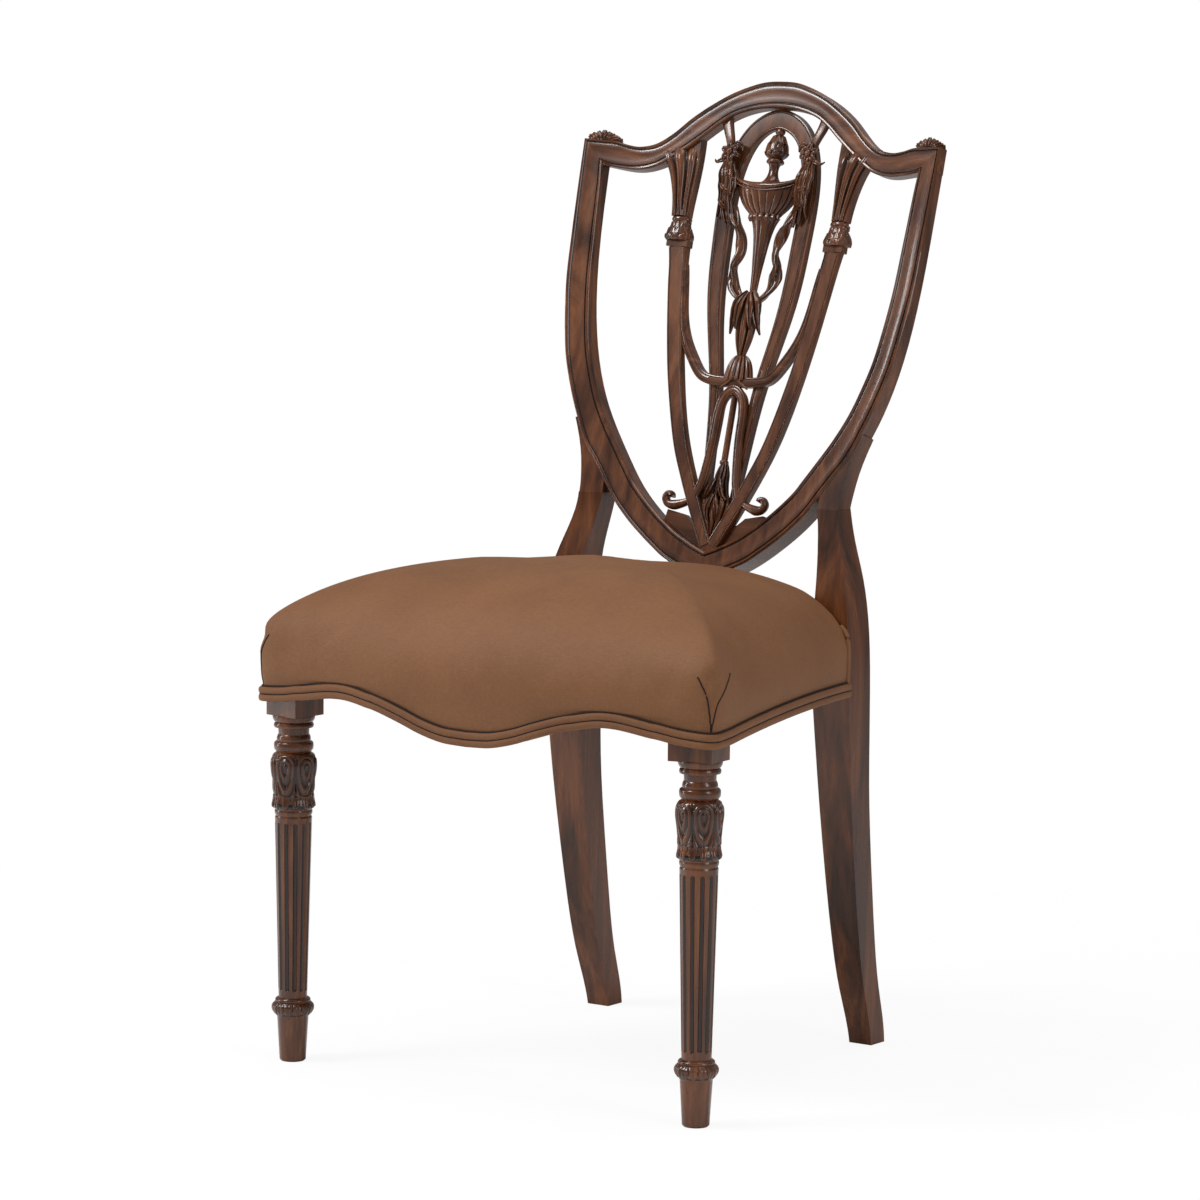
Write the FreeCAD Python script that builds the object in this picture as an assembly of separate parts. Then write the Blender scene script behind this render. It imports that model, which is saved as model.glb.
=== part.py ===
import FreeCAD, Part
import math
import os
from FreeCAD import Vector

# Shield back dining chair, millimetres, +Z up, the sitter looks along -Y.
# The origin is at the middle of the chair's footprint box, on the floor.

# Front legs: turned, fluted, with a square block under the seat. The turning's profile is
# drawn at its pattern height and stretched to the leg's
front_leg_inset = 31.0
front_leg_height = 344.0
leg_pattern_height = 344.0
leg_block_size = 44.0
leg_ring_radius = 20.0
block_step = 7.0
leg_vase_radius = 21.5
leg_shaft_top_radius = 18.6
leg_shaft_bottom_radius = 14.4
leg_collar_radius = 20.0
leg_foot_radius = 13.2
flute_count = 12
flute_radius = 2.3
flute_top = 241.0
flute_bottom = 74.0

# Rear legs: sabre curved, one piece with the sides of the shield
rear_foot_setback = 421.0
rear_foot_width = 26.5
rear_foot_half_gap = 152.0
post_foot_depth = 25.5
post_seat_setback = 347.0
post_seat_depth = 41.5
neck_above_foot = 75.0
post_pattern_height = 555.0

# Shield: leaned back and bowed in plan, so that its middle is further back
shield_half_width = 219.5
shield_side_height = 450.5
shield_foot_above_edge = 115.0
shield_foot_setback = 361.5
shield_rake = 15.4
bow_radius = 978.0
frame_width = 26.5
stile_top_width = 23.6
crest_rise = 71.5
crest_joint_drop = 26.5
frame_thickness_top = 17.5
frame_thickness_mid = 19.0
frame_thickness_low = 24.0
ear_mound_height = 9.0

# Splat pieces: depths are measured back from the shield's front face
rib_width = 13.5
rib_front = 4.0
rib_back = 13.5
swag_width = 10.5
swag_front = 4.0
swag_back = 11.0
strap_width = 8.0
hoop_width = 19.5
hoop_front = 9.0
hoop_back = 17.0
splat_axis_depth = 11.0
urn_radius = 40.0
urn_front = 3.0
urn_back = 17.0
finial_depth = 14.5
rosette_radius = 12.0
drape_front = 3.0
scroll_front = 5.0
scroll_back = 14.0
scroll_radius = 8.6
rod_radius = 3.4
capital_radius = 10.0
rib_block_width = 24.5

# Seat: bowed front, serpentine lower edge, domed top
seat_front_half_width = 276.0
seat_rear_half_width = 184.0
seat_front_corner = -23.0
seat_bow = 18.7
seat_back_edge = 384.0
seat_corner_cut = 14.0
seat_edge_above_leg = 21.0
seat_front_dip = 19.5
seat_front_rise = 12.4
seat_side_rise = 6.5
rail_top_above_edge = 60.0
shoulder_above_edge = 53.0
dome_reach = 160.0
rail_thickness = 24.0
crown_above_edge = 139.0
cover_thickness = 1.6
soft_gap = 0.3
rail_clearance = 0.8
cover_draw_in = 2.5
welt_size = 7.2
welt_stand = 3.0
rear_welt_stand = 2.4
webbing_width = 50.0
webbing_thickness = 1.4
hessian_thickness = 1.0
dust_cover_thickness = 1.0
corner_block_above_edge = 15.0
corner_block_height = 32.0
corner_block_reach = 62.0
dowel_radius = 5.0
dowel_length = 44.0
screw_radius = 2.2
screw_bite = 15.0

# Levels that follow: the seat stands on the front legs, and the shield over the seat
seat_edge_height = front_leg_height + seat_edge_above_leg
rail_top = seat_edge_height + rail_top_above_edge
seat_shoulder_height = seat_edge_height + shoulder_above_edge
seat_crown_height = seat_edge_height + crown_above_edge
corner_block_bottom = seat_edge_height + corner_block_above_edge
shield_foot_height = seat_edge_height + shield_foot_above_edge
post_neck_height = shield_foot_height + neck_above_foot

UP = Vector(0, 0, 1)
ORIGIN = Vector(0, 0, 0)
FAR = 700.0
pieces = {}
os.makedirs("parts", exist_ok=True)


# Shapes shared by many pieces

def edge(points):
    """A straight edge through two points, a smooth one through more."""
    if len(points) == 2:
        return Part.LineSegment(points[0], points[1]).toShape()
    curve = Part.BSplineCurve()
    curve.interpolate(points)
    return curve.toShape()


def flat_face(runs, place):
    """A face bounded by runs of (across, up) points, each run ending where the next begins."""
    edges = [edge([place(a, b) for a, b in run]) for run in runs]
    return Part.Face(Part.Wire(edges))


def upright(a, b):
    return Vector(a, 0, b)


def ring_of_lines(points):
    return [[points[i], points[(i + 1) % len(points)]] for i in range(len(points))]


def thick(face, front=-80.0, depth=160.0):
    """The face stood in the XZ plane, made a prism along Y."""
    solid = face.extrude(Vector(0, depth, 0))
    solid.translate(Vector(0, front, 0))
    return solid


def mirrored(shape):
    return shape.mirror(ORIGIN, Vector(1, 0, 0))


def both_ways(points):
    """A right-hand outline and its mirror image, joined at the middle point."""
    return points + [(-a, b) for a, b in reversed(points[:-1])]


def block(x0, x1, y0, y1, z0, z1):
    return Part.makeBox(x1 - x0, y1 - y0, z1 - z0, Vector(x0, y0, z0))


def sides_of_line(points, widths):
    """Two outlines that lie half a width to each side of a centre line."""
    curve = Part.BSplineCurve()
    curve.interpolate([upright(a, b) for a, b in points])
    near, off = [], []
    for (a, b), width in zip(points, widths):
        along = curve.tangent(curve.parameter(upright(a, b)))[0]
        half = width / 2
        near.append((a - along.z * half, b + along.x * half))
        off.append((a + along.z * half, b - along.x * half))
    return near, off


def strip(points, widths):
    """A flat strip of the given widths along a centre line."""
    near, off = sides_of_line(points, widths)
    off.reverse()
    return flat_face([near, [near[-1], off[0]], off, [off[-1], near[0]]], upright)


def turned(runs, axis):
    """A turning about an upright axis from runs of (radius, height)."""
    face = Part.Face(Part.Wire([edge([Vector(r, 0, h) for r, h in run]) for run in runs]))
    solid = face.revolve(ORIGIN, UP, 360)
    solid.translate(axis)
    return solid


def clean(shape):
    """One solid, with the seams between joined faces taken out."""
    shape = shape.removeSplitter()
    solids = sorted(shape.Solids, key=lambda s: s.Volume)
    return solids[-1]


# The shield's own frame: X across, Y back from its front face, Z up its slope

rake = math.radians(shield_rake)
slab_reach = shield_half_width * 1.2


def lean(shape):
    """From the shield's own frame to its place on the chair."""
    shape = shape.copy()
    shape.rotate(ORIGIN, Vector(1, 0, 0), -shield_rake)
    shape.translate(Vector(0, shield_foot_setback, shield_foot_height))
    return shape


def bow_edge(depth, height, reverse=False):
    """Across the shield, a shallow curve whose middle is furthest back."""
    drop = slab_reach ** 2 / (2 * bow_radius)
    poles = [Vector(-slab_reach, depth - drop, height),
             Vector(0, depth + drop, height),
             Vector(slab_reach, depth - drop, height)]
    if reverse:
        poles.reverse()
    curve = Part.BezierCurve()
    curve.setPoles(poles)
    return curve.toShape()


def bow_section(front, back, height):
    ahead = bow_edge(front, height)
    behind = bow_edge(back, height, reverse=True)
    right = Part.LineSegment(ahead.Vertexes[1].Point, behind.Vertexes[0].Point).toShape()
    left = Part.LineSegment(behind.Vertexes[1].Point, ahead.Vertexes[0].Point).toShape()
    return Part.Wire([ahead, right, behind, left])


slab_top = shield_side_height + crest_rise + 40
slab_low = -60.0


def bowed_slab(front, back):
    """The bowed layer in which one group of splat pieces lies."""
    section = Part.Face(bow_section(front, back, slab_low))
    return section.extrude(UP * (slab_top - slab_low))


shield_slab = Part.makeLoft([
    bow_section(0, frame_thickness_low + 4, slab_low),
    bow_section(0, frame_thickness_low, 0.18 * shield_side_height),
    bow_section(0, frame_thickness_mid, 0.44 * shield_side_height),
    bow_section(0, frame_thickness_top, slab_top)], True)


def in_slab(face, slab):
    return thick(face).common(slab)


# Outline of the shield, as shares of its half width and its side height
outer_shares = [(1.0, 1.0), (0.993, 0.84), (0.975, 0.667), (0.916, 0.488), (0.815, 0.355),
                (0.670, 0.239), (0.539, 0.154), (0.364, 0.078), (0.223, 0.031), (-0.03, -0.016)]
outer = [(a * shield_half_width, b * shield_side_height) for a, b in outer_shares]
top_step = (frame_width - stile_top_width) / 3
band_widths = [frame_width - top_step * max(0, 3 - number) for number in range(len(outer))]
inner = sides_of_line(outer, [2 * width for width in band_widths])[1]
far_inner = list(reversed(inner))
band = flat_face([outer, [outer[-1], far_inner[0]], far_inner, [far_inner[-1], outer[0]]], upright)
right_half = thick(flat_face(ring_of_lines(
    [(0, slab_low), (FAR, slab_low), (FAR, slab_top), (0, slab_top)]), upright))

# The serpentine crest rail: ear, dip and centre arch, above and below
crest_joint = shield_side_height - crest_joint_drop
crest_top_shares = [(0.838, 0.0), (0.774, -0.049), (0.706, -0.066), (0.624, 0.0),
                    (0.456, 0.413), (0.273, 0.783), (0.0, 1.0)]
crest_low_shares = [(0.881, -0.37), (0.79, -0.405), (0.72, -0.415), (0.592, -0.315),
                    (0.456, -0.035), (0.228, 0.483), (0.0, 0.622)]


def crest_line(shares):
    return [(a * shield_half_width, shield_side_height + b * crest_rise) for a, b in shares]


crest_top = both_ways(crest_line(crest_top_shares))
crest_low = both_ways(crest_line(crest_low_shares))
ear_out = shield_half_width
crest_face = flat_face([
    crest_top,
    [crest_top[-1], (-ear_out, shield_side_height)],
    [(-ear_out, shield_side_height), (-ear_out, crest_joint)],
    [(-ear_out, crest_joint), crest_low[-1]],
    list(reversed(crest_low)),
    [crest_low[0], (ear_out, crest_joint)],
    [(ear_out, crest_joint), (ear_out, shield_side_height)],
    [(ear_out, shield_side_height), crest_top[0]]], upright)
crest = in_slab(crest_face, shield_slab)
ear_middle = (crest_top[0][0] + ear_out) / 2
ear_half = (ear_out - crest_top[0][0]) / 2 - 1
mound_face = flat_face([
    [(ear_middle + ear_half, shield_side_height), (ear_middle, shield_side_height + ear_mound_height),
     (ear_middle - ear_half, shield_side_height)],
    [(ear_middle - ear_half, shield_side_height), (ear_middle - ear_half, shield_side_height - 2)],
    [(ear_middle - ear_half, shield_side_height - 2), (ear_middle + ear_half, shield_side_height - 2)],
    [(ear_middle + ear_half, shield_side_height - 2), (ear_middle + ear_half, shield_side_height)]],
    upright)
mound = in_slab(mound_face, bowed_slab(2.5, frame_thickness_top - 2.5))
crest = clean(crest.fuse([mound, mirrored(mound)]))
pieces["crest_rail"] = lean(crest)
under_crest = thick(flat_face([
    crest_low, [crest_low[-1], (-ear_out, slab_low)],
    [(-ear_out, slab_low), (ear_out, slab_low)],
    [(ear_out, slab_low), crest_low[0]]], upright))

# The band splits where the post meets it: sides go with the posts, the rest is the lower rail
joint_x = (outer[5][0] + outer[6][0]) / 2
joint_z = (outer[5][1] + outer[6][1]) / 2
joint_inner_x = (inner[5][0] + inner[6][0]) / 2
joint_inner_z = (inner[5][1] + inner[6][1]) / 2
joint_run_x = joint_inner_x - joint_x
joint_run_z = joint_inner_z - joint_z
below_joint = flat_face(ring_of_lines([
    (joint_x - 4 * joint_run_x, joint_z - 4 * joint_run_z),
    (joint_x + 4 * joint_run_x, joint_z + 4 * joint_run_z),
    (-FAR, joint_inner_z), (-FAR, -FAR), (joint_x, -FAR)]), upright)
lower_band = band.common(below_joint)
side_band = band.cut(below_joint).common(flat_face(ring_of_lines(
    [(0, -FAR), (FAR, -FAR), (FAR, crest_joint), (0, crest_joint)]), upright))

lower_rail = in_slab(lower_band, shield_slab).common(right_half)
lower_rail = clean(lower_rail)
pieces["shield_lower_rail_right"] = lean(lower_rail)
pieces["shield_lower_rail_left"] = lean(mirrored(lower_rail))

# Rear post: from the foot through the seat to the neck, then out into the shield's side
neck_half = 0.728 * shield_half_width
neck_inner = 0.6 * shield_half_width
neck_upper_outer = [(neck_half + 0.6, 0.14 * shield_side_height),
                    (neck_half, 0.182 * shield_side_height),
                    (neck_half + 2.0, 0.218 * shield_side_height),
                    (neck_half + 5.2, 0.255 * shield_side_height),
                    (neck_half + 9.7, 0.289 * shield_side_height),
                    (neck_half + 18.2, 0.338 * shield_side_height)]
neck_face = flat_face([
    neck_upper_outer,
    [neck_upper_outer[-1], (0.75 * shield_half_width, 0.35 * shield_side_height)],
    [(0.75 * shield_half_width, 0.35 * shield_side_height), (joint_inner_x + 12, joint_inner_z)],
    [(joint_inner_x + 12, joint_inner_z), (joint_x + 1, joint_z)],
    [(joint_x + 1, joint_z), (neck_inner + 1.5, 0.14 * shield_side_height)],
    [(neck_inner + 1.5, 0.14 * shield_side_height), neck_upper_outer[0]]], upright)
post_face = side_band.fuse(neck_face).removeSplitter()
upper_post = lean(in_slab(post_face, shield_slab))
above_neck = block(-FAR, FAR, -FAR, FAR, post_neck_height, 2 * FAR)
upper_post = upper_post.common(above_neck)

# Side view of the leg: height, front face, depth from front to back, share of the shield's bow
neck_front = (shield_foot_setback
              + (post_neck_height - shield_foot_height) * math.tan(rake))
bow_across = 1 / (2 * bow_radius * math.cos(rake))
post_middle = (neck_half + neck_inner) / 2
low_drop = rear_foot_setback - post_seat_setback
leg_stations = [
    (0.0, rear_foot_setback, post_foot_depth, 0.0),
    (0.108, post_seat_setback + 0.743 * low_drop, post_foot_depth + 2.4, 0.0),
    (0.216, post_seat_setback + 0.534 * low_drop, post_foot_depth + 4.8, 0.0),
    (0.342, post_seat_setback + 0.358 * low_drop, post_foot_depth + 6.8, 0.0),
    (0.486, post_seat_setback + 0.196 * low_drop, post_foot_depth + 8.5, 0.0),
    (0.631, post_seat_setback + 0.075 * low_drop, post_seat_depth - 3.0, 0.0),
    (0.775, post_seat_setback, post_seat_depth, 0.0),
    (0.865, post_seat_setback + 6.5, post_seat_depth - 5.0, 0.15),
    (0.937, post_seat_setback + 17.5, post_seat_depth - 11.5, 0.6)]


def leg_section(height, front, depth, share):
    """A bowed strip across the chair at one height; the post is cut out of their loft."""
    reach = slab_reach
    drop = share * bow_across * reach ** 2
    lift = share * bow_across * post_middle ** 2
    mid = front + lift
    front_poles = [Vector(-reach, mid - drop, height), Vector(0, mid + drop, height),
                   Vector(reach, mid - drop, height)]
    back_poles = [p + Vector(0, depth, 0) for p in reversed(front_poles)]
    edges = []
    for poles in (front_poles, back_poles):
        curve = Part.BezierCurve()
        curve.setPoles(poles)
        edges.append(curve.toShape())
    joins = [Part.LineSegment(front_poles[2], back_poles[0]).toShape(),
             Part.LineSegment(back_poles[2], front_poles[0]).toShape()]
    return Part.Wire([edges[0], joins[0], edges[1], joins[1]])


neck_depth = frame_thickness_low / math.cos(rake)
post_rise = post_neck_height / post_pattern_height
neck_section = (1.0, neck_front - bow_across * post_middle ** 2, neck_depth, 1.0)
leg_slab = Part.makeLoft([leg_section(share * post_neck_height, front, depth, bow)
                          for share, front, depth, bow in leg_stations + [neck_section]], True)
foot_out = rear_foot_half_gap + rear_foot_width
seat_out = foot_out + 10.5
leg_outer = [(foot_out, 0), (foot_out + 3.1, 85), (foot_out + 5.2, 165), (foot_out + 8, 260),
             (seat_out, 370), (seat_out - 1.8, 440), (seat_out - 11, 490),
             (neck_half + 5.2, 529), (neck_half + 0.4, post_pattern_height)]
leg_inner = [(neck_inner + 0.6, post_pattern_height), (neck_inner + 7, 524), (neck_inner + 12.5, 491),
             (rear_foot_half_gap - 7, 400), (rear_foot_half_gap - 5.5, 290),
             (rear_foot_half_gap - 3.5, 170), (rear_foot_half_gap - 2, 80), (rear_foot_half_gap, 0)]
leg_runs = [leg_outer, [leg_outer[-1], leg_inner[0]], leg_inner, [leg_inner[-1], leg_outer[0]]]
leg_face = flat_face([[(a, b * post_rise) for a, b in run] for run in leg_runs], upright)
lower_post = thick(leg_face, 200, 500).common(leg_slab)
rear_post = clean(upper_post.fuse(lower_post))

# Splat, from the ribs inwards. Points are shares of the shield's half width and side height
across = shield_half_width / 219.5
along = shield_side_height / 450.5


def spot(points):
    return [(a * across, b * along) for a, b in points]


rib_line = spot([(96.4, 350), (93.2, 325), (90.2, 300), (82.5, 250), (72.5, 200),
                 (55.9, 140), (39, 100), (19.3, 60), (-3, 17)])
rib_widths = [20, 16.5, 14.5] + [rib_width] * 6
rib_slab = bowed_slab(rib_front, rib_back)
rib = in_slab(strip(rib_line, rib_widths), rib_slab).common(right_half)
rib = rib.cut(lower_rail)
rib_x, rib_top = rib_line[0]
capital_axis = Vector(rib_x + 1.6, (rib_front + rib_back) / 2
                      - rib_x ** 2 / (2 * bow_radius), 0)
capital_neck = capital_radius - 1.6
capital_runs = [[(0, 7), (14.5, 7)], [(14.5, 7), (15.2, 11), (11.5, 20), (8.8, 24)],
                [(8.8, 24), (capital_radius, 24)], [(capital_radius, 24), (capital_radius, 29)],
                [(capital_radius, 29), (capital_neck, 29)], [(capital_neck, 29), (capital_neck, 36)],
                [(capital_neck, 36), (0, 36)], [(0, 36), (0, 7)]]
capital = turned([[(r, rib_top + h - 7) for r, h in run] for run in capital_runs], capital_axis)
capital = capital.common(bowed_slab(rib_front - 3, rib_back + 1))
flare_out = spot([(107.6, 375), (109, 388), (112.5, 405), (119, 424), (129, 440)])
flare_in = spot([(88, 470), (86.5, 440), (88, 405), (89.2, 388), (89.6, 375)])
flare = in_slab(flat_face([flare_out, [flare_out[-1], flare_in[0]], flare_in,
                           [flare_in[-1], flare_out[0]]], upright),
                bowed_slab(rib_front - 2, rib_back)).common(under_crest)
rib_plinth = in_slab(flat_face(ring_of_lines([
    (rib_x - rib_block_width / 2, rib_top - 7), (rib_x + rib_block_width / 2, rib_top - 7),
    (rib_x + rib_block_width / 2, rib_top), (rib_x - rib_block_width / 2, rib_top)]), upright),
    bowed_slab(rib_front - 1.5, rib_back))
rib = clean(rib.fuse([rib_plinth, capital, flare]))
pieces["outer_rib_right"] = lean(rib)
pieces["outer_rib_left"] = lean(mirrored(rib))

# Swag stretcher: one curved bar from rib to rib, halved over the hoop's legs
swag_line = both_ways(spot([(85, 325), (80, 290), (75, 262), (66, 240), (54, 221.5),
                            (42, 208.5), (25, 203.8), (0, 203.5)]))
swag_widths = [5, 7, 9, 10] + [swag_width] * 7 + [10, 9, 7, 5]
swag = in_slab(strip(swag_line, swag_widths), bowed_slab(swag_front, swag_back))
swag = clean(swag.cut([rib, mirrored(rib)]))
pieces["swag_stretcher"] = lean(swag)

# Lower strap: a narrow hairpin from the stretcher down to the ribs
strap_line = both_ways(spot([(27, 80), (20.4, 100), (15.8, 140), (14.7, 170), (10.5, 188),
                             (0, 194)]))
strap = in_slab(strip(strap_line, [strap_width] * len(strap_line)),
                bowed_slab(swag_front, swag_back))
strap = clean(strap.cut([rib, mirrored(rib), swag]))
pieces["lower_strap"] = lean(strap)

# Inner hoop: an arch under the crest with two long legs that close on the ribs
hoop_line = both_ways(spot([(16, 66), (18.5, 95), (21.5, 140), (27.5, 200), (37.7, 250),
                            (45.8, 300), (49, 355), (50, 390), (47.5, 425), (40, 452),
                            (24, 475), (0, 484.7)]))
hoop_side_widths = [7, 8, 10, 12.8, 14.6, 17.6] + [hoop_width] * 5
hoop_widths = hoop_side_widths + [hoop_width + 0.6] + list(reversed(hoop_side_widths))
hoop = in_slab(strip(hoop_line, hoop_widths), bowed_slab(hoop_front, hoop_back))
hoop = hoop.common(under_crest)
hoop = clean(hoop.cut([rib, mirrored(rib), swag, strap]))
pieces["inner_hoop"] = lean(hoop)

# Urn and finial: flattened turnings, carved in the round at the front
urn_axis = Vector(0, splat_axis_depth, 0)


def raised(points):
    return [(r, h * along) for r, h in points]


urn_stem = raised([(3.6, 290), (4.6, 305), (7, 333), (10, 358), (17, 378)])
urn_bowl = raised([(18.5, 380), (27, 387), (36, 398), (38.5, 408)])
urn_top = raised([(urn_radius, 409), (urn_radius, 417), (0, 417)])
urn = turned([urn_stem, [urn_stem[-1], urn_bowl[0]], urn_bowl, [urn_bowl[-1], urn_top[0]],
              urn_top[:2], urn_top[1:], [urn_top[2], (0, urn_stem[0][1])],
              [(0, urn_stem[0][1]), urn_stem[0]]], urn_axis)
urn = urn.common(bowed_slab(urn_front, urn_back)).cut(hoop)
pieces["urn"] = lean(clean(urn))
finial_foot = raised([(24, 417), (18, 420.5), (8, 426), (5.6, 432), (6.5, 438)])
finial_bud = raised([(9.5, 440), (12.6, 447), (11.5, 456), (7, 464), (4.4, 468)])
finial_knob = raised([(4.4, 468), (5.4, 471), (4, 474.2)])
finial_axis = Vector(0, finial_depth, 0)
finial = turned([finial_foot, [finial_foot[-1], finial_bud[0]], finial_bud, finial_knob,
                 [finial_knob[-1], (0, finial_knob[-1][1])],
                 [(0, finial_knob[-1][1]), (0, finial_foot[0][1])],
                 [(0, finial_foot[0][1]), finial_foot[0]]], finial_axis)
finial = finial.common(bowed_slab(urn_front - 1.5, finial_depth + 11)).cut(hoop)
pieces["urn_finial"] = lean(clean(finial))

# Drapery: a thin stem from the crest, a rosette and a hanging fold on each side
drape_slab = bowed_slab(drape_front, hoop_front)
rosette_x, rosette_z = spot([(49, 446)])[0]
rosette_rim = Part.makeCircle(rosette_radius, Vector(rosette_x, 0, rosette_z), Vector(0, 1, 0))
rosette = Part.Face(Part.Wire([rosette_rim]))
stem = strip(spot([(60, 490), (58, 475), (52, 448)]), [8, 7, 8])
fold = strip(spot([(50.5, 442), (50.5, 415), (49, 395), (45, 372)]), [16, 17, 14, 7])
drape_face = rosette.fuse([stem, fold]).removeSplitter()
drapery = clean(in_slab(drape_face, drape_slab).common(under_crest))
pieces["drapery_right"] = lean(drapery)
pieces["drapery_left"] = lean(mirrored(drapery))

# Husk drop and leaf calyx, one under the other on the centre line
husk_side = spot([(5, 290), (11, 301), (17, 290), (19, 258), (12, 264), (8.5, 246), (5.5, 232)])
husk_face = flat_face([
    husk_side[:2], husk_side[1:4], husk_side[3:5], husk_side[4:],
    [husk_side[-1], (-husk_side[-1][0], husk_side[-1][1])],
    [(-a, b) for a, b in reversed(husk_side[4:])], [(-a, b) for a, b in reversed(husk_side[3:5])],
    [(-a, b) for a, b in reversed(husk_side[1:4])], [(-a, b) for a, b in reversed(husk_side[:2])],
    [(-husk_side[0][0], husk_side[0][1]), husk_side[0]]], upright)
husk = in_slab(husk_face, bowed_slab(urn_front + 3.5, urn_back))
pieces["husk_drop"] = lean(clean(husk.cut(urn)))
calyx_side = spot([(5.5, 232), (11, 225), (15.5, 214), (14.5, 205)])
calyx_face = flat_face([
    calyx_side, [calyx_side[-1], (-calyx_side[-1][0], calyx_side[-1][1])],
    [(-a, b) for a, b in reversed(calyx_side)],
    [(-calyx_side[0][0], calyx_side[0][1]), calyx_side[0]]], upright)
calyx = in_slab(calyx_face, bowed_slab(urn_front, urn_back - 2.5))
calyx = clean(calyx.cut([swag, hoop]))
pieces["leaf_calyx"] = lean(calyx)

# Ribbons: from the folds' tips down to the husk
ribbon = in_slab(strip(spot([(40, 382), (30, 362), (21.5, 340), (19.5, 320), (10, 296)]),
                       [8, 9, 8, 9, 8]), bowed_slab(urn_front + 2, hoop_back - 3))
ribbon = clean(ribbon.cut([drapery, husk, hoop, urn]))
pieces["ribbon_right"] = lean(ribbon)
pieces["ribbon_left"] = lean(mirrored(ribbon))

# Centre rod and the acanthus spray that it stands on
spray_side = spot([(2, 119), (7, 106), (12, 90), (18, 78), (10, 58), (1, 42)])
spray_face = flat_face([
    spray_side, [spray_side[-1], (-spray_side[-1][0], spray_side[-1][1])],
    [(-a, b) for a, b in reversed(spray_side)],
    [(-spray_side[0][0], spray_side[0][1]), spray_side[0]]], upright)
spray = in_slab(spray_face, bowed_slab(rib_front - 1, rib_back - 1))
spray = clean(spray.cut([rib, mirrored(rib), strap, hoop, lower_rail, mirrored(lower_rail)]))
pieces["acanthus_spray"] = lean(spray)
rod = Part.makeCylinder(rod_radius, 90 * along, Vector(0, splat_axis_depth - 2, 112 * along))
rod = clean(rod.cut([spray, strap, swag]))
pieces["centre_rod"] = lean(rod)

# Shoe plate inside the foot of the shield, with a scroll standing over each end
back_slab = bowed_slab(hoop_front, hoop_back)
shoe_side = spot([(15, 48), (37, 62), (59, 66), (61, 54), (66, 30), (0, -4)])
shoe_face = flat_face([
    [(0, shoe_side[0][1] - 3), shoe_side[0], shoe_side[1]], shoe_side[1:3], shoe_side[2:4],
    shoe_side[3:5], shoe_side[4:], [shoe_side[-1], (0, shoe_side[0][1] - 3)]], upright)
shoe = in_slab(shoe_face, back_slab)
shoe = shoe.fuse(mirrored(shoe)).removeSplitter()
shoe = shoe.cut([lower_rail, mirrored(lower_rail), rib, mirrored(rib), spray, hoop])
shoe = clean(shoe)
pieces["shoe_plate"] = lean(shoe)
scroll_x, scroll_z = spot([(54.6, 75.8)])[0]
scroll = Part.makeCylinder(scroll_radius, 160, Vector(scroll_x, -80, scroll_z), Vector(0, 1, 0))
scroll_slab = bowed_slab(scroll_front, scroll_back)
scroll = scroll.common(scroll_slab)
arm = in_slab(strip([(scroll_x, scroll_z - scroll_radius + 3.5)]
                    + spot([(43, 69), (36, 71), (26, 80)]), [7, 7, 7, 7]), scroll_slab)
scroll = clean(scroll.fuse(arm).cut([rib, shoe, hoop]))
pieces["scroll_right"] = lean(scroll)
pieces["scroll_left"] = lean(mirrored(scroll))

# Seat outline in plan, drawn in or let out by one distance


def plan_wire(inset, height):
    half = seat_front_half_width - inset
    front = seat_front_corner + inset
    radius = (half ** 2 + seat_bow ** 2) / (2 * seat_bow)
    start_x = half - seat_corner_cut
    rise = math.sqrt(radius ** 2 - start_x ** 2)
    start = Vector(start_x, front - seat_bow + radius - rise, height)
    tangent = Vector(rise, start_x, 0).normalize()
    corner = Vector(half, front, height)
    rear = Vector(seat_rear_half_width - inset, seat_back_edge - inset, height)
    side = (rear - corner).normalize()
    gap = corner - start
    reach = (gap.x * side.y - gap.y * side.x) / (tangent.x * side.y - tangent.y * side.x)
    bend = start + tangent * reach
    end = bend + side * reach
    other = [Vector(-p.x, p.y, p.z) for p in (start, bend, end, rear)]
    right_corner = Part.BezierCurve()
    right_corner.setPoles([start, bend, end])
    left_corner = Part.BezierCurve()
    left_corner.setPoles([other[2], other[1], other[0]])
    edges = [Part.Arc(other[0], Vector(0, front - seat_bow, height), start).toShape(),
             right_corner.toShape(), edge([end, rear]), edge([rear, other[3]]),
             edge([other[3], other[2]]), left_corner.toShape()]
    return Part.Wire(edges)


def plan_block(inset, low, high):
    return Part.Face(plan_wire(inset, low)).extrude(UP * (high - low))


# Stations of the upholstered form: height and how far the side is drawn in
low_form = seat_edge_height - 25
dome = seat_crown_height - seat_shoulder_height
form_stations = [(low_form, cover_draw_in), (low_form + 18, cover_draw_in),
                 (seat_edge_height + 10, cover_draw_in), (seat_edge_height + 28, 1.0)]
for step in range(10):
    turn = math.radians(10 * step)
    form_stations.append((seat_shoulder_height + dome * math.sin(turn) ** 0.95,
                          dome_reach * (1 - math.cos(turn) ** 1.11)))


def seat_form(inset):
    """The upholstered shape, drawn in all round and on top by one distance."""
    wires = []
    for height, draw in form_stations:
        sink = inset * min(1.0, draw / 45.0)
        wires.append(plan_wire(draw + inset, height - sink))
    return Part.makeLoft(wires, True, False, False, 3)


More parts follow.
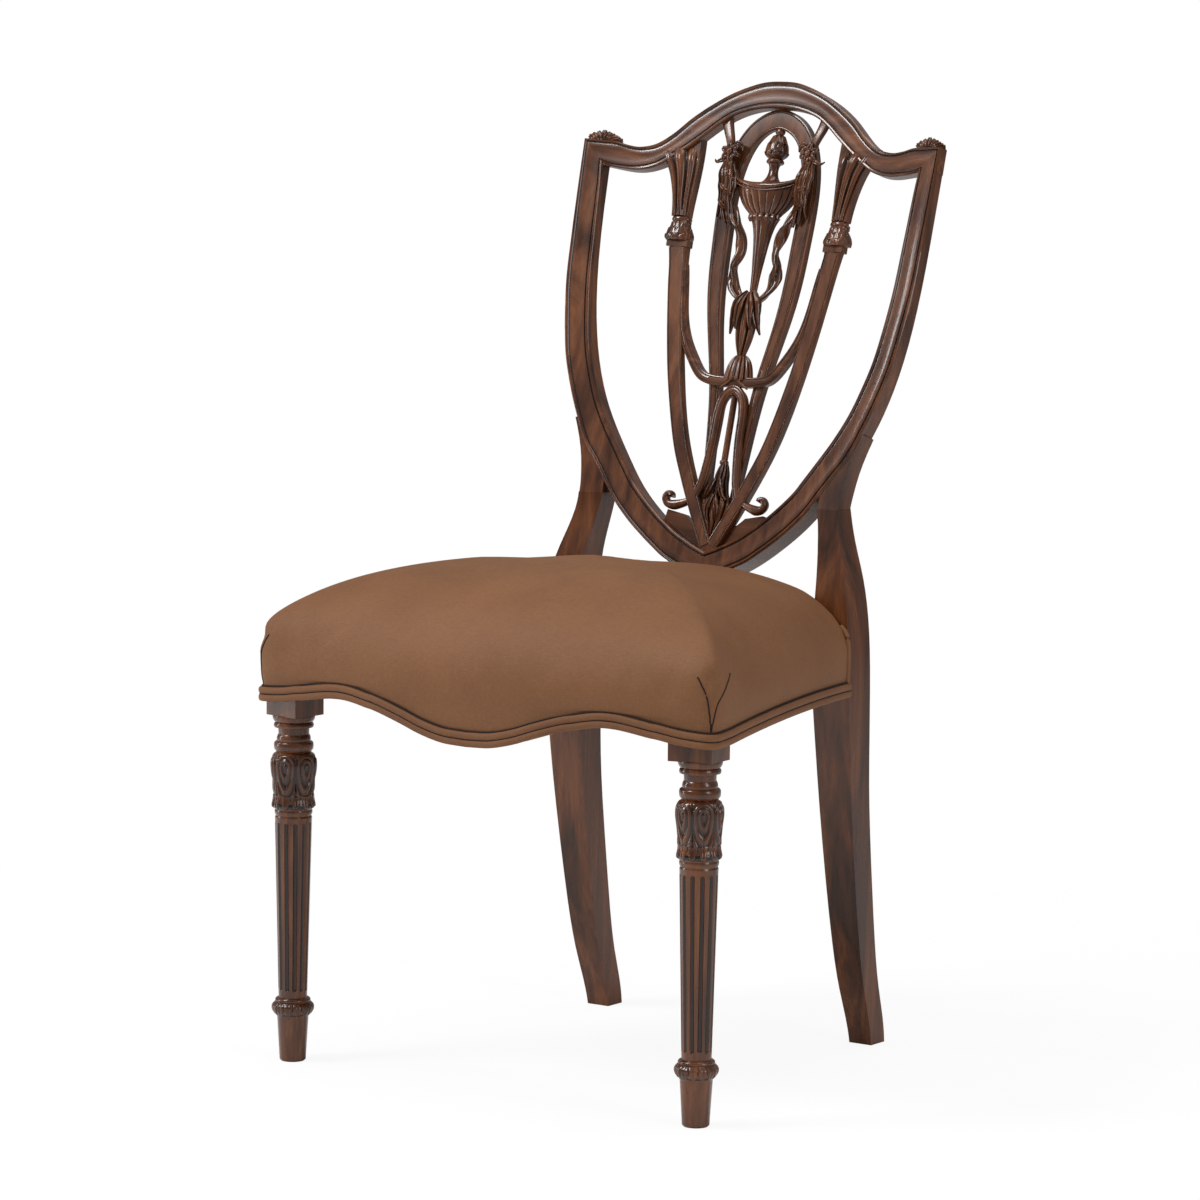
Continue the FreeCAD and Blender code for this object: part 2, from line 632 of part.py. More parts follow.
# Everything under the seat's lower edge: serpentine along the front, arched along the sides
edge_shares = [(1.15, 0), (1.0, 0), (0.87, 0.18), (0.77, 0.5), (0.585, 1.0), (0.43, 0.52)]
dip_shares = [(0.3, 0.17), (0.2, 0.63), (0.1, 0.93), (0, 1.0)]
edge_line = both_ways(
    [(a * seat_front_half_width, seat_edge_height + b * seat_front_rise) for a, b in edge_shares]
    + [(a * seat_front_half_width, seat_edge_height - b * seat_front_dip) for a, b in dip_shares])
zone_split = seat_front_corner + 46
zone_back = seat_back_edge + 60


def below_edge(lift):
    raised_line = [(a, b + lift) for a, b in edge_line]
    reach = raised_line[0][0]
    front_zone = flat_face([raised_line, [raised_line[-1], (-reach, -10)],
                            [(-reach, -10), (reach, -10)], [(reach, -10), raised_line[0]]], upright)
    front_zone = thick(front_zone, seat_front_corner - 80, zone_split - seat_front_corner + 80)
    level = seat_edge_height + lift
    side_line = [Vector(-reach, zone_split, level + 0.5),
                 Vector(-reach, (zone_split + zone_back) / 2, level + seat_side_rise),
                 Vector(-reach, zone_back, level)]
    side_edges = [Part.Arc(*side_line).toShape(),
                  edge([side_line[2], Vector(-reach, zone_back, -10)]),
                  edge([Vector(-reach, zone_back, -10), Vector(-reach, zone_split, -10)]),
                  edge([Vector(-reach, zone_split, -10), side_line[0]])]
    side_zone = Part.Face(Part.Wire(side_edges)).extrude(Vector(2 * reach, 0, 0))
    return front_zone.fuse(side_zone)


# Room for the legs and posts where they pass through the seat
leg_x = seat_front_half_width - front_leg_inset
half_block = leg_block_size / 2
block_plan = [(leg_x - half_block + 1, -half_block - 2), (leg_x + half_block + 1, -half_block + 7),
              (leg_x + half_block - 2, half_block - 2), (leg_x - half_block, half_block - 2)]


def post_clear(gap, low):
    """The space that a soft piece leaves round the rear posts, above one height."""
    room = block(rear_foot_half_gap - 7.5 - gap, FAR, post_seat_setback - gap, FAR, low, 2 * FAR)
    return room.fuse(mirrored(room))


# Front leg: square block, cup, vase, fluted taper, collar and foot, one turning
leg_pattern_top = leg_pattern_height + block_step
leg_low = [(leg_foot_radius - 1.5, 0), (leg_foot_radius, 1.5), (15.8, 45)]
leg_profile = [
    [(0, 0), leg_low[0]], leg_low[:2], leg_low[1:],
    [(15.8, 45), (17, 48)], [(17, 48), (leg_collar_radius, 52), (leg_collar_radius, 57), (17.5, 60)],
    [(17.5, 60), (17.2, 63)], [(17.2, 63), (leg_shaft_bottom_radius, 65)],
    [(leg_shaft_bottom_radius, 65), (leg_shaft_top_radius, 248)],
    [(leg_shaft_top_radius, 248), (17.8, 250)], [(17.8, 250), (19, 253), (18.6, 256)],
    [(18.6, 256), (20.5, 260), (19, 270), (20, 286), (leg_vase_radius, 300), (20, 312)],
    [(20, 312), (17.3, 314)], [(17.3, 314), (19.2, 317), (19.2, 323), (16.8, 325)],
    [(16.8, 325), (17, 328), (15.4, 332)], [(15.4, 332), (15.6, 338)],
    [(15.6, 338), (19.5, 339)], [(19.5, 339), (leg_ring_radius, 341), (19.5, 343)],
    [(19.5, 343), (18.5, leg_pattern_height)],
    [(18.5, leg_pattern_height), (20.6, leg_pattern_height + 2.5), (21.2, leg_pattern_top)],
    [(21.2, leg_pattern_top), (0, leg_pattern_top)],
    [(0, leg_pattern_top), (0, 0)]]
leg_rise = front_leg_height / leg_pattern_height
turning = turned([[(r, h * leg_rise) for r, h in run] for run in leg_profile], ORIGIN)
taper = leg_shaft_top_radius - leg_shaft_bottom_radius
flute_low_radius = leg_shaft_bottom_radius + taper * (flute_bottom - 65) / 183 + 0.6
flute_high_radius = leg_shaft_bottom_radius + taper * (flute_top - 65) / 183 + 0.6
flutes = []
for number in range(flute_count):
    turn = 2 * math.pi * (number + 0.5) / flute_count
    facing = Vector(math.cos(turn), math.sin(turn), 0)
    low = facing * flute_low_radius + UP * (flute_bottom * leg_rise)
    high = facing * flute_high_radius + UP * (flute_top * leg_rise)
    groove = Part.makeCylinder(flute_radius, (high - low).Length, low, high - low)
    flutes += [groove, Part.makeSphere(flute_radius, low), Part.makeSphere(flute_radius, high)]
turning = turning.cut(flutes)
turning.translate(Vector(leg_x, 0, 0))
block_bottom = leg_pattern_top * leg_rise
leg_head = Part.Face(Part.makePolygon([Vector(a, b, block_bottom) for a, b in block_plan]
                                      + [Vector(*block_plan[0], block_bottom)]))
leg_head = leg_head.extrude(UP * (rail_top - block_bottom))
rail_inset = cover_draw_in + cover_thickness + rail_clearance
below_welt = leg_head.common(below_edge(-soft_gap))
behind_cover = leg_head.common(plan_block(rail_inset, front_leg_height, rail_top))
leg_head = below_welt.fuse(behind_cover).removeSplitter()
front_leg = clean(turning.fuse(leg_head))

# Seat rails: a ring behind the cover, cut off at the legs and posts
under_edge = below_edge(1.0)
ring = plan_block(rail_inset, seat_edge_height - 40, rail_top)
ring = ring.cut(plan_block(rail_inset + rail_thickness, low_form, rail_top + 1))
ring = ring.cut(under_edge)
leg_heads = [leg_head, mirrored(leg_head)]
post_rooms = [rear_post, mirrored(rear_post)]
front_zone = block(-leg_x + half_block, leg_x - half_block, -FAR, half_block, 0, FAR)
front_rail = clean(ring.common(front_zone).cut(leg_heads))
side_zone = block(0, FAR, half_block - 2, post_seat_setback, 0, FAR)
side_rail = clean(ring.common(side_zone).cut(leg_heads + post_rooms))
rear_zone = block(-rear_foot_half_gap + 7, rear_foot_half_gap - 7, seat_back_edge - 60, FAR, 0, FAR)
rear_rail = clean(ring.common(rear_zone).cut(post_rooms))

# Dowels: two in each end of each rail
dowels = []


def dowel_pair(middle, direction, heights):
    half = direction * (dowel_length / 2)
    return [Part.makeCylinder(dowel_radius, dowel_length, Vector(middle.x, middle.y, z) - half,
                              direction) for z in heights]


def side_at(y, inset):
    """How far out the seat's side line is at one place along it."""
    share = (y - seat_front_corner - inset) / (seat_back_edge - seat_front_corner - 2 * inset)
    return seat_front_half_width - inset - share * (seat_front_half_width - seat_rear_half_width)


rail_middle = rail_inset + rail_thickness / 2
dowel_heights = (rail_top - 14, rail_top - 36)
side_heights = (rail_top - 25, rail_top - 47)
front_y = seat_front_corner - 0.17 * seat_bow + rail_middle
side_lean = Vector(seat_rear_half_width - seat_front_half_width,
                   seat_back_edge - seat_front_corner, 0).normalize()
dowels += dowel_pair(Vector(leg_x - half_block, front_y, 0), Vector(1, 0, 0), dowel_heights)
for y in (half_block - 2, post_seat_setback):
    dowels += dowel_pair(Vector(side_at(y, rail_middle), y, 0), side_lean, side_heights)
dowels += dowel_pair(Vector(rear_foot_half_gap - 7, seat_back_edge - rail_middle, 0),
                     Vector(1, 0, 0), dowel_heights)
dowels += [mirrored(d) for d in dowels]

# Corner blocks behind each leg and post, each held by two screws
cavity = plan_block(rail_inset + rail_thickness, corner_block_bottom,
                    corner_block_bottom + corner_block_height)
cavity = cavity.cut(leg_heads + post_rooms + [rear_rail])
rail_inner = rail_inset + rail_thickness


def corner_wedge(corner, run_x, run_y):
    """A three-cornered prism in plan with its square corner at one point."""
    points = [corner, corner + Vector(run_x, 0, 0), corner + Vector(0, run_y, 0), corner]
    return Part.Face(Part.makePolygon(points)).extrude(UP * FAR)


def screws_through(corner, run_x, run_y, rail_y):
    """Two screws from the long face of a corner block, one into each rail."""
    found = []
    level = UP * (corner_block_bottom + corner_block_height / 2)
    for share, axis in ((0.3, Vector(0, 1, 0)), (0.62, Vector(1, 0, 0))):
        start = corner + Vector(run_x * (1 - share), run_y * share, 0)
        if axis.y:
            direction = Vector(0, -1 if run_y > 0 else 1, 0)
            length = abs(start.y - rail_y) + screw_bite
        else:
            direction = axis
            length = side_at(start.y, rail_inner) - start.x + screw_bite
        shank = Part.makeCylinder(screw_radius, length, start + level, direction)
        head = Part.makeCone(2 * screw_radius, screw_radius, 1.2 * screw_radius, start + level,
                             direction)
        found.append(clean(shank.fuse(head)))
    return found


front_corner = Vector(leg_x + half_block, seat_front_corner + rail_inner - 12, 0)
front_run = corner_block_reach + 66
front_wedge = corner_wedge(front_corner, -front_run, front_run)
front_block = clean(cavity.common(front_wedge).cut([front_rail, side_rail]))
rear_corner = Vector(seat_rear_half_width + 4, seat_back_edge, 0)
rear_run_x = corner_block_reach + 52
rear_run_y = corner_block_reach + 62
rear_wedge = corner_wedge(rear_corner, -rear_run_x, -rear_run_y)
rear_block = clean(cavity.common(rear_wedge).cut([side_rail, rear_rail]))
screws = screws_through(front_corner, -front_run, front_run, seat_front_corner + rail_inner)
screws += screws_through(rear_corner, -rear_run_x, -rear_run_y, seat_back_edge - rail_inner)
screws += [mirrored(s) for s in screws]

fasteners = dowels + screws
pieces["rear_leg_right"] = rear_post.cut(fasteners)
pieces["rear_leg_left"] = mirrored(rear_post).cut(fasteners)
pieces["front_leg_right"] = front_leg.cut(fasteners)
pieces["front_leg_left"] = mirrored(front_leg).cut(fasteners)
pieces["front_seat_rail"] = front_rail.cut(fasteners)
pieces["rear_seat_rail"] = rear_rail.cut(fasteners)
pieces["side_seat_rail_right"] = side_rail.cut(fasteners)
pieces["side_seat_rail_left"] = mirrored(side_rail).cut(fasteners)
pieces["front_corner_block_right"] = front_block.cut(fasteners)
pieces["front_corner_block_left"] = mirrored(front_block).cut(fasteners)
pieces["rear_corner_block_right"] = rear_block.cut(fasteners)
pieces["rear_corner_block_left"] = mirrored(rear_block).cut(fasteners)
pieces["rail_dowels"] = Part.makeCompound(dowels)
pieces["corner_block_screws"] = Part.makeCompound(screws)

# Webbing: straps front to back, then straps side to side on top of them
webbing_zone = plan_block(rail_inset + 2, rail_top, rail_top + 4 * webbing_thickness)
cover_room = post_clear(cover_thickness + 2 * soft_gap, rail_top)
webbing_zone = webbing_zone.cut(cover_room)
lengthwise, crosswise = [], []
for place in (-1.5, -0.5, 0.5, 1.5):
    middle = place * (webbing_width + 24)
    lengthwise.append(block(middle - webbing_width / 2, middle + webbing_width / 2, -FAR, FAR,
                            rail_top, rail_top + webbing_thickness).common(webbing_zone))
for number in range(4):
    middle = seat_front_corner + 70 + number * (webbing_width + 26)
    low = rail_top + webbing_thickness
    crosswise.append(block(-FAR, FAR, middle - webbing_width / 2, middle + webbing_width / 2,
                           low, low + webbing_thickness).common(webbing_zone))
pieces["webbing_lengthwise"] = Part.makeCompound([s.Solids[0] for s in lengthwise])
pieces["webbing_crosswise"] = Part.makeCompound([s.Solids[0] for s in crosswise])
hessian_low = rail_top + 2 * webbing_thickness
hessian = plan_block(rail_inset + 1, hessian_low, hessian_low + hessian_thickness)
pieces["hessian_sheet"] = hessian.cut(cover_room)

# Pad, cover and dust cover
outer_form = seat_form(0)
pad_low = hessian_low + hessian_thickness + soft_gap
pad = seat_form(cover_thickness + soft_gap).common(block(-FAR, FAR, -FAR, FAR, pad_low, FAR))
pieces["seat_pad"] = clean(pad.cut(cover_room))
cover = outer_form.cut(post_clear(soft_gap, low_form)).cut(below_edge(0.5))
lining = seat_form(cover_thickness).cut(post_clear(cover_thickness + soft_gap, rail_top))
cover = clean(cover.cut(lining))
pieces["seat_cover"] = cover
dust_low = corner_block_bottom - dust_cover_thickness
dust = plan_block(rail_inset + rail_thickness, dust_low, corner_block_bottom)
pieces["dust_cover"] = dust.cut(leg_heads + post_rooms + [rear_rail, front_rail, side_rail,
                                                          mirrored(side_rail)])

# Double welt along the cover's lower edge, and one welt up beside each post
welt_zone = plan_block(cover_draw_in - welt_stand, low_form, rail_top)
welt_zone = welt_zone.common(block(-FAR, FAR, -FAR, post_seat_setback - soft_gap, 0, FAR))
welt_zone = welt_zone.cut(seat_form(-soft_gap))
for name, low in (("lower_welt_cord", 0.0), ("upper_welt_cord", welt_size)):
    pieces[name] = clean(welt_zone.cut(below_edge(low)).common(below_edge(low + welt_size)))
cord = seat_form(-rear_welt_stand).cut(seat_form(-soft_gap))
cord = cord.cut(below_edge(2 * welt_size + soft_gap))
cord = cord.common(block(rear_foot_half_gap, FAR, post_seat_setback - soft_gap - welt_size,
                         post_seat_setback - soft_gap, 0, seat_shoulder_height + 0.45 * dome))
cord = clean(cord)
pieces["rear_welts"] = Part.makeCompound([cord, mirrored(cord)])

# Every piece moves together, so that the chair stands on z = 0 around the origin
whole = Part.makeCompound(list(pieces.values())).optimalBoundingBox(False, False)
shift = Vector(-(whole.XMin + whole.XMax) / 2, -(whole.YMin + whole.YMax) / 2, -whole.ZMin)
for name, shape in pieces.items():
    shape = shape.copy()
    shape.translate(shift)
    shape.exportStep("parts/" + name + ".step")
print("size", round(whole.XLength, 2), round(whole.YLength, 2), round(whole.ZLength, 2))
print("shift", round(shift.x, 2), round(shift.y, 2), round(shift.z, 2))
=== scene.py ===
import bpy
import math
from mathutils import Vector, Matrix


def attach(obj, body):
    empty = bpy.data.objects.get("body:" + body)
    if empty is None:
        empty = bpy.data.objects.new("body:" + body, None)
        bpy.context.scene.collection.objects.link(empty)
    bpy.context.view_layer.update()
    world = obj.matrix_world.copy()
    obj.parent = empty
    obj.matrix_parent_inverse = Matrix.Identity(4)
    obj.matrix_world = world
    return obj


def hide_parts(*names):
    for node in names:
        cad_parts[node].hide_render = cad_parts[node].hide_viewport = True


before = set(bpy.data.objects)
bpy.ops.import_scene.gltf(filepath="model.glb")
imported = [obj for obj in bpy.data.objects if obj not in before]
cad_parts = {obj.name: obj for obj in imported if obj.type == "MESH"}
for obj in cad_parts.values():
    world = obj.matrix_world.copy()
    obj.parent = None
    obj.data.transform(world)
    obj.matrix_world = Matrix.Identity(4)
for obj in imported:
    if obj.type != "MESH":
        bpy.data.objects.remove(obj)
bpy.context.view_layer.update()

bpy.ops.object.select_all(action="DESELECT")

# ---------------------------------------------------------------- camera
# The photograph is taken from the sitter's left front, a little above the seat,
# with a long lens and hardly any tilt.
camera_turn = math.radians(35.09)
camera_rise = math.radians(6.516)
camera_roll = math.radians(0.618)
camera_place = Vector((2.7595, -3.98282, 1.01705))
backward = Vector((math.sin(camera_turn) * math.cos(camera_rise),
                   -math.cos(camera_turn) * math.cos(camera_rise), math.sin(camera_rise)))
rightward = Vector((math.cos(camera_turn), math.sin(camera_turn), 0))
upward = backward.cross(rightward)
across_view = math.cos(camera_roll) * rightward + math.sin(camera_roll) * upward
up_view = math.cos(camera_roll) * upward - math.sin(camera_roll) * rightward
bpy.ops.object.camera_add()
camera = bpy.context.object
camera.matrix_world = Matrix((
    (across_view.x, up_view.x, backward.x, camera_place.x),
    (across_view.y, up_view.y, backward.y, camera_place.y),
    (across_view.z, up_view.z, backward.z, camera_place.z),
    (0, 0, 0, 1)))
camera.data.sensor_width = 36
camera.data.lens = 145.17
camera.data.clip_end = 50
scene = bpy.context.scene
scene.camera = camera

# ---------------------------------------------------------------- floor, backdrop and light
# A white studio: a pale floor that only shows the chair's soft shadow, soft lamps high at
# the left, at the right and overhead, and a narrow strip at the left that lights the beads.


def feed(made, sockets):
    """Fills a shader node's sockets, by place or name, with values or other nodes' outputs."""
    for key, value in sockets.items():
        socket = made.inputs[key.replace("_", " ") if isinstance(key, str) else key]
        if isinstance(value, bpy.types.NodeSocket):
            made.id_data.links.new(value, socket)
        else:
            socket.default_value = value


def node(tree, kind, *first, **named):
    """A new shader node, with its modes and sockets set; a socket's name has _ for a space."""
    made = tree.nodes.new("ShaderNode" + kind)
    for mode in ("operation", "data_type", "blend_type", "attribute_name"):
        if mode in named:
            setattr(made, mode, named.pop(mode))
    feed(made, {**dict(enumerate(first)), **named})
    return made


def material(name):
    """A new material with its node tree and its surface shader."""
    finish = bpy.data.materials.new(name)
    finish.use_nodes = True
    return finish, finish.node_tree, finish.node_tree.nodes["Principled BSDF"]


scene.view_settings.view_transform = "Standard"
world = bpy.data.worlds.new("studio")
scene.world = world
world.use_nodes = True
tree = world.node_tree
ray = node(tree, "LightPath")
seen = node(tree, "Math", ray.outputs["Is Camera Ray"], ray.outputs["Is Transmission Ray"], operation="MAXIMUM")
level = node(tree, "MapRange", seen.outputs[0], To_Min=0.32, To_Max=1.0)
feed(tree.nodes["Background"], {"Color": (1, 1, 1, 1), "Strength": level.outputs["Result"]})


def studio_lamp(name, place, target, size, watts):
    bpy.ops.object.light_add(type="AREA", location=place)
    lamp = bpy.context.object
    lamp.name = name
    lamp.data.shape = "RECTANGLE"
    lamp.data.size, lamp.data.size_y = size
    lamp.data.energy = watts
    lamp.rotation_euler = (Vector(target) - Vector(place)).to_track_quat("-Z", "Y").to_euler()


studio_lamp("left_softbox", (-1.5, -1.9, 3.0), (0, 0, 0.5), (1.0, 1.0), 84)
studio_lamp("right_softbox", (2.6, -0.5, 1.5), (0, 0, 0.5), (0.8, 1.9), 26)
studio_lamp("overhead_softbox", (0.2, 0.2, 2.9), (0, 0, 0.4), (1.6, 1.2), 24)
studio_lamp("edge_strip", (-2.3, -1.1, 0.9), (0, 0, 0.6), (0.14, 1.7), 14)

bpy.ops.mesh.primitive_plane_add(size=14, location=(0, 0, 0))
floor = bpy.context.object
floor.name = "studio_floor"
paper, tree, surface = material("white_paper")
feed(surface, {"Base Color": (0.93, 0.93, 0.93, 1), "Roughness": 0.9, "Specular IOR Level": 0.1})
away = node(tree, "VectorMath", node(tree, "TexCoord").outputs["Object"], operation="LENGTH")
fade = node(tree, "MapRange", away.outputs["Value"], From_Min=0.45, From_Max=1.3, To_Min=0.90, To_Max=1.0)
share = node(tree, "Math", node(tree, "LightPath").outputs["Is Camera Ray"], fade.outputs["Result"],
             operation="MULTIPLY")
blend_in = node(tree, "MixShader", share.outputs[0], surface.outputs[0],
                node(tree, "Emission", Strength=1.0).outputs[0])
feed(tree.nodes["Material Output"], {"Surface": blend_in.outputs[0]})
floor.data.materials.append(paper)

# ---------------------------------------------------------------- rear legs with the shield's sides
# Each is one length of solid mahogany, sawn and shaped from the foot to the
# shield's ear, stained red brown and finished in satin lacquer. The grain runs up.


def ramp(tree, value, *stops):
    """Colours read off a scale: each stop is a place and a colour, the two ends first."""
    tone = node(tree, "ValToRGB", value)
    for number, (place, colour) in enumerate(stops):
        stop = tone.color_ramp.elements[number] if number < 2 else tone.color_ramp.elements.new(place)
        stop.position = place
        stop.color = (*colour, 1)
    return tone.outputs["Color"]


def mahogany(name, grain, shade_mask=None):
    """Figured red-brown wood; grain is how close the pattern lies along X, Y and Z."""
    finish, tree, surface = material(name)
    where = node(tree, "TexCoord").outputs["Object"]
    stretch = node(tree, "Mapping", where, Scale=grain)
    figure = node(tree, "TexNoise", stretch.outputs[0], Scale=1.0, Detail=5.0, Distortion=1.4).outputs["Fac"]
    tone = ramp(tree, figure, (0.30, (0.034, 0.0100, 0.0033)), (0.72, (0.152, 0.049, 0.0135)),
                (0.5, (0.088, 0.0265, 0.0078)))
    close = node(tree, "Mapping", where, Scale=[g * 7 if g > 10 else g * 3 for g in grain])
    streaks = node(tree, "TexNoise", close.outputs[0], Scale=1.0, Detail=4.0).outputs["Fac"]
    streak_tone = node(tree, "MapRange", streaks, From_Min=0.3, From_Max=0.7, To_Min=0.74, To_Max=1.12)
    colour = node(tree, "Mix", data_type="RGBA", blend_type="MULTIPLY", Factor=1.0, A=tone,
                  B=streak_tone.outputs["Result"]).outputs["Result"]
    # painted shade: a near-black mixed in wherever the carving's shade mask is high
    if shade_mask is not None:
        painted_hollow_shade = (0.007, 0.003, 0.002, 1)
        colour = node(tree, "Mix", data_type="RGBA", Factor=shade_mask(tree), A=colour,
                      B=painted_hollow_shade).outputs["Result"]
    gloss = node(tree, "MapRange", figure, To_Min=0.18, To_Max=0.34)
    pores = node(tree, "Bump", Strength=0.05, Distance=0.0004, Height=streaks)
    feed(surface, {"Base Color": colour, "Roughness": gloss.outputs["Result"],
                   "Normal": pores.outputs["Normal"], "Specular IOR Level": 0.3,
                   "Coat Weight": 0.12 if shade_mask is None else 0.32, "Coat Roughness": 0.08})
    return finish


def painted_carving_shade(tree):
    """Painted shade darkens the carving, following each point's own shade value."""
    return node(tree, "Attribute", attribute_name="painted_shade").outputs["Fac"]


def finish_nodes(material, *names):
    """CAD nodes get their finish; their meshes and places stay as they are."""
    for name in names:
        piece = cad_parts[name]
        piece.data.materials.clear()
        piece.data.materials.append(material)


upright_wood = mahogany("mahogany_grain_up", (38, 38, 3.2))
level_wood = mahogany("mahogany_grain_across", (3.2, 38, 38))
upright_carved = mahogany("mahogany_carved_up", (34, 34, 6), painted_carving_shade)
level_carved = mahogany("mahogany_carved_across", (5, 38, 38), painted_carving_shade)
finish_nodes(upright_wood, "rear_leg_right", "rear_leg_left")

# ---------------------------------------------------------------- moulded face of the shield
# The sides, crest and lower rails share one moulding: a bead along each edge, a
# quirk inside it darkened with painted shade and a slightly dished field. It runs round and mitres at the ears.
finish_nodes(level_wood, "crest_rail", "shield_lower_rail_right", "shield_lower_rail_left")
shield_rake = math.radians(15.4)
shield_bow = 978.0
shield_foot = (125.12, 480.0)


def on_shield(x, depth, rise):
    """Millimetres across, behind the shield's face and up its slope, to a place on the chair."""
    back = depth - x * x / (2 * shield_bow)
    y = shield_foot[0] + back * math.cos(shield_rake) + rise * math.sin(shield_rake)
    z = shield_foot[1] - back * math.sin(shield_rake) + rise * math.cos(shield_rake)
    return Vector((x, y, z)) * 0.001


def smooth_line(points, count):
    """A smooth line through a few points, given back as evenly spread ones."""
    points = [Vector(p) for p in points]
    spans = len(points) - 1
    ends = [points[0] * 2 - points[1]] + points + [points[-1] * 2 - points[-2]]
    dense = []
    for step in range(spans * 24 + 1):
        span = min(step // 24, spans - 1)
        t = step / 24 - span
        a, b, c, d = ends[span:span + 4]
        dense.append((b * 2 + (c - a) * t + (a * 2 - b * 5 + c * 4 - d) * t * t
                      + (b * 3 - a - c * 3 + d) * t ** 3) / 2)
    lengths = [0.0]
    for near, far in zip(dense, dense[1:]):
        lengths.append(lengths[-1] + (far - near).length)
    line, place = [], 0
    for step in range(count + 1):
        want = lengths[-1] * step / count
        while place < len(dense) - 2 and lengths[place + 1] < want:
            place += 1
        gap = max(lengths[place + 1] - lengths[place], 1e-9)
        line.append(dense[place].lerp(dense[place + 1], min(1.0, (want - lengths[place]) / gap)))
    return line


def rolled(name, around, along, place, material, angle=50):
    """A grid rolled into a closed bar: place(turn, run) gives each point and how much painted shade it takes."""
    bpy.ops.mesh.primitive_grid_add(x_subdivisions=around, y_subdivisions=along, size=1.0)
    piece = bpy.context.object
    piece.name = name
    piece.data.name = name
    # each point keeps its painted shade, which darkens it in the carved finishes
    painted_shade = piece.data.attributes.new("painted_shade", "FLOAT", "POINT")
    for number, vertex in enumerate(piece.data.vertices):
        spot, depth = place((vertex.co.x + 0.5) % 1.0, vertex.co.y + 0.5)
        vertex.co = spot
        painted_shade.data[number].value = depth
    bpy.ops.object.mode_set(mode="EDIT")
    bpy.ops.mesh.select_all(action="SELECT")
    bpy.ops.mesh.remove_doubles(threshold=0.000002)
    bpy.ops.mesh.fill_holes(sides=around + 2)
    bpy.ops.mesh.select_all(action="SELECT")
    bpy.ops.mesh.normals_make_consistent(inside=False)
    bpy.ops.object.mode_set(mode="OBJECT")
    bpy.ops.object.shade_smooth_by_angle(angle=math.radians(angle))
    piece.data.materials.append(material)
    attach(piece, "root")
    piece.select_set(False)
    return piece


def mirror_copy(piece, name):
    """The left-hand twin of a right-hand piece, with a mesh of its own."""
    bpy.ops.object.select_all(action="DESELECT")
    twin = piece.copy()
    twin.data = piece.data.copy()
    twin.name = name
    twin.data.name = name
    bpy.context.collection.objects.link(twin)
    for vertex in twin.data.vertices:
        vertex.co.x = -vertex.co.x
    twin.data.flip_normals()
    twin.data.update()
    return twin


# distance in from the outer edge (o) or the inner edge (i), height over the face, darkness of the painted shade
# (deepest in the quirks)
moulding_section = [("o", -0.3, -3.0, 0.2), ("o", -0.35, 0.2, 0), ("o", 0.3, 1.2, 0), ("o", 1.5, 1.8, 0),
                    ("o", 2.8, 1.4, 0), ("o", 3.5, 0.5, 0.5), ("o", 3.9, 0.12, 1), ("o", 4.7, 0.12, 1),
                    ("o", 5.1, 0.9, 0.55), ("o", 6.2, 1.15, 0.12), ("o", 10.0, 0.75, 0), ("i", 10.0, 0.75, 0),
                    ("i", 6.0, 1.1, 0.1), ("i", 5.0, 1.0, 0.5), ("i", 4.7, 0.12, 1), ("i", 4.0, 0.12, 1),
                    ("i", 3.6, 0.8, 0.4), ("i", 2.8, 1.8, 0), ("i", 1.5, 2.1, 0), ("i", 0.3, 1.4, 0),
                    ("i", -0.35, 0.3, 0), ("i", -0.3, -3.0, 0.2)]
band_outer = [(219.5, 450.5), (218.2, 400), (216.4, 348), (214, 300), (208, 257), (201, 220), (190.5, 188),
              (178.9, 159.9), (163, 128), (147.1, 107.7), (131, 86.5), (118.3, 69.4), (99, 50.4), (79.9, 35.1),
              (63, 23), (48.9, 14), (24, 3.2), (0, -5.5)]
band_inner = [(195.9, 426.8), (193.6, 400), (190.5, 348), (187.4, 302), (182.2, 263), (175.5, 228), (166, 199),
              (155, 172.5), (140, 146.5), (124.8, 125), (109.5, 104), (99.5, 90.5), (82, 73.2), (64, 58),
              (49.5, 47.5), (37.5, 39.8), (17, 29.5), (0, 22.5)]


def face_moulding(outer, inner, rows):
    """place() for a moulding that lies between two lines on the shield's face."""
    outer = smooth_line([(a, b, 0) for a, b in outer], rows)
    inner = smooth_line([(a, b, 0) for a, b in inner], rows)
    count = len(moulding_section)

    def place(turn, run):
        row = min(rows, round(run * rows))
        edge, distance, height, dark = moulding_section[round(turn * count) % count]
        width = (inner[row] - outer[row]).length
        share = distance / width if edge == "o" else 1 - distance / width
        spot = outer[row].lerp(inner[row], share)
        return on_shield(spot.x, -height, spot.y), dark
    return place


side_moulding = rolled("shield_side_moulding_right", len(moulding_section), 110,
                       face_moulding(band_outer, band_inner, 110), upright_carved, 35)
mirror_copy(side_moulding, "shield_side_moulding_left")
crest_outer = [(219.5, 450.5), (201, 450.5), (184, 450.2), (170, 447), (155, 445.8), (137, 450.3), (119, 462.5),
               (100, 480), (80, 494.5), (60, 506.5), (40, 515), (20, 520.7), (0, 522)]
crest_inner = [(195.9, 426.8), (184, 422.8), (172, 421.5), (158, 421), (144, 423), (130, 428), (115, 437.5),
               (100, 448), (83, 461.3), (67, 474.5), (50, 485), (26, 492.5), (0, 495)]


def both_sides(points):
    return points + [(-a, b) for a, b in reversed(points[:-1])]


rolled("crest_moulding", len(moulding_section), 180,
       face_moulding(both_sides(crest_outer), both_sides(crest_inner), 180),
       level_carved, 35)

# ---------------------------------------------------------------- leaf carving on the ears
# A low mound of overlapping leaves carved on the top of each ear of the crest rail.
# Each leaf is a grid rolled into a blunt tongue; they are joined, and mirrored for the left ear.


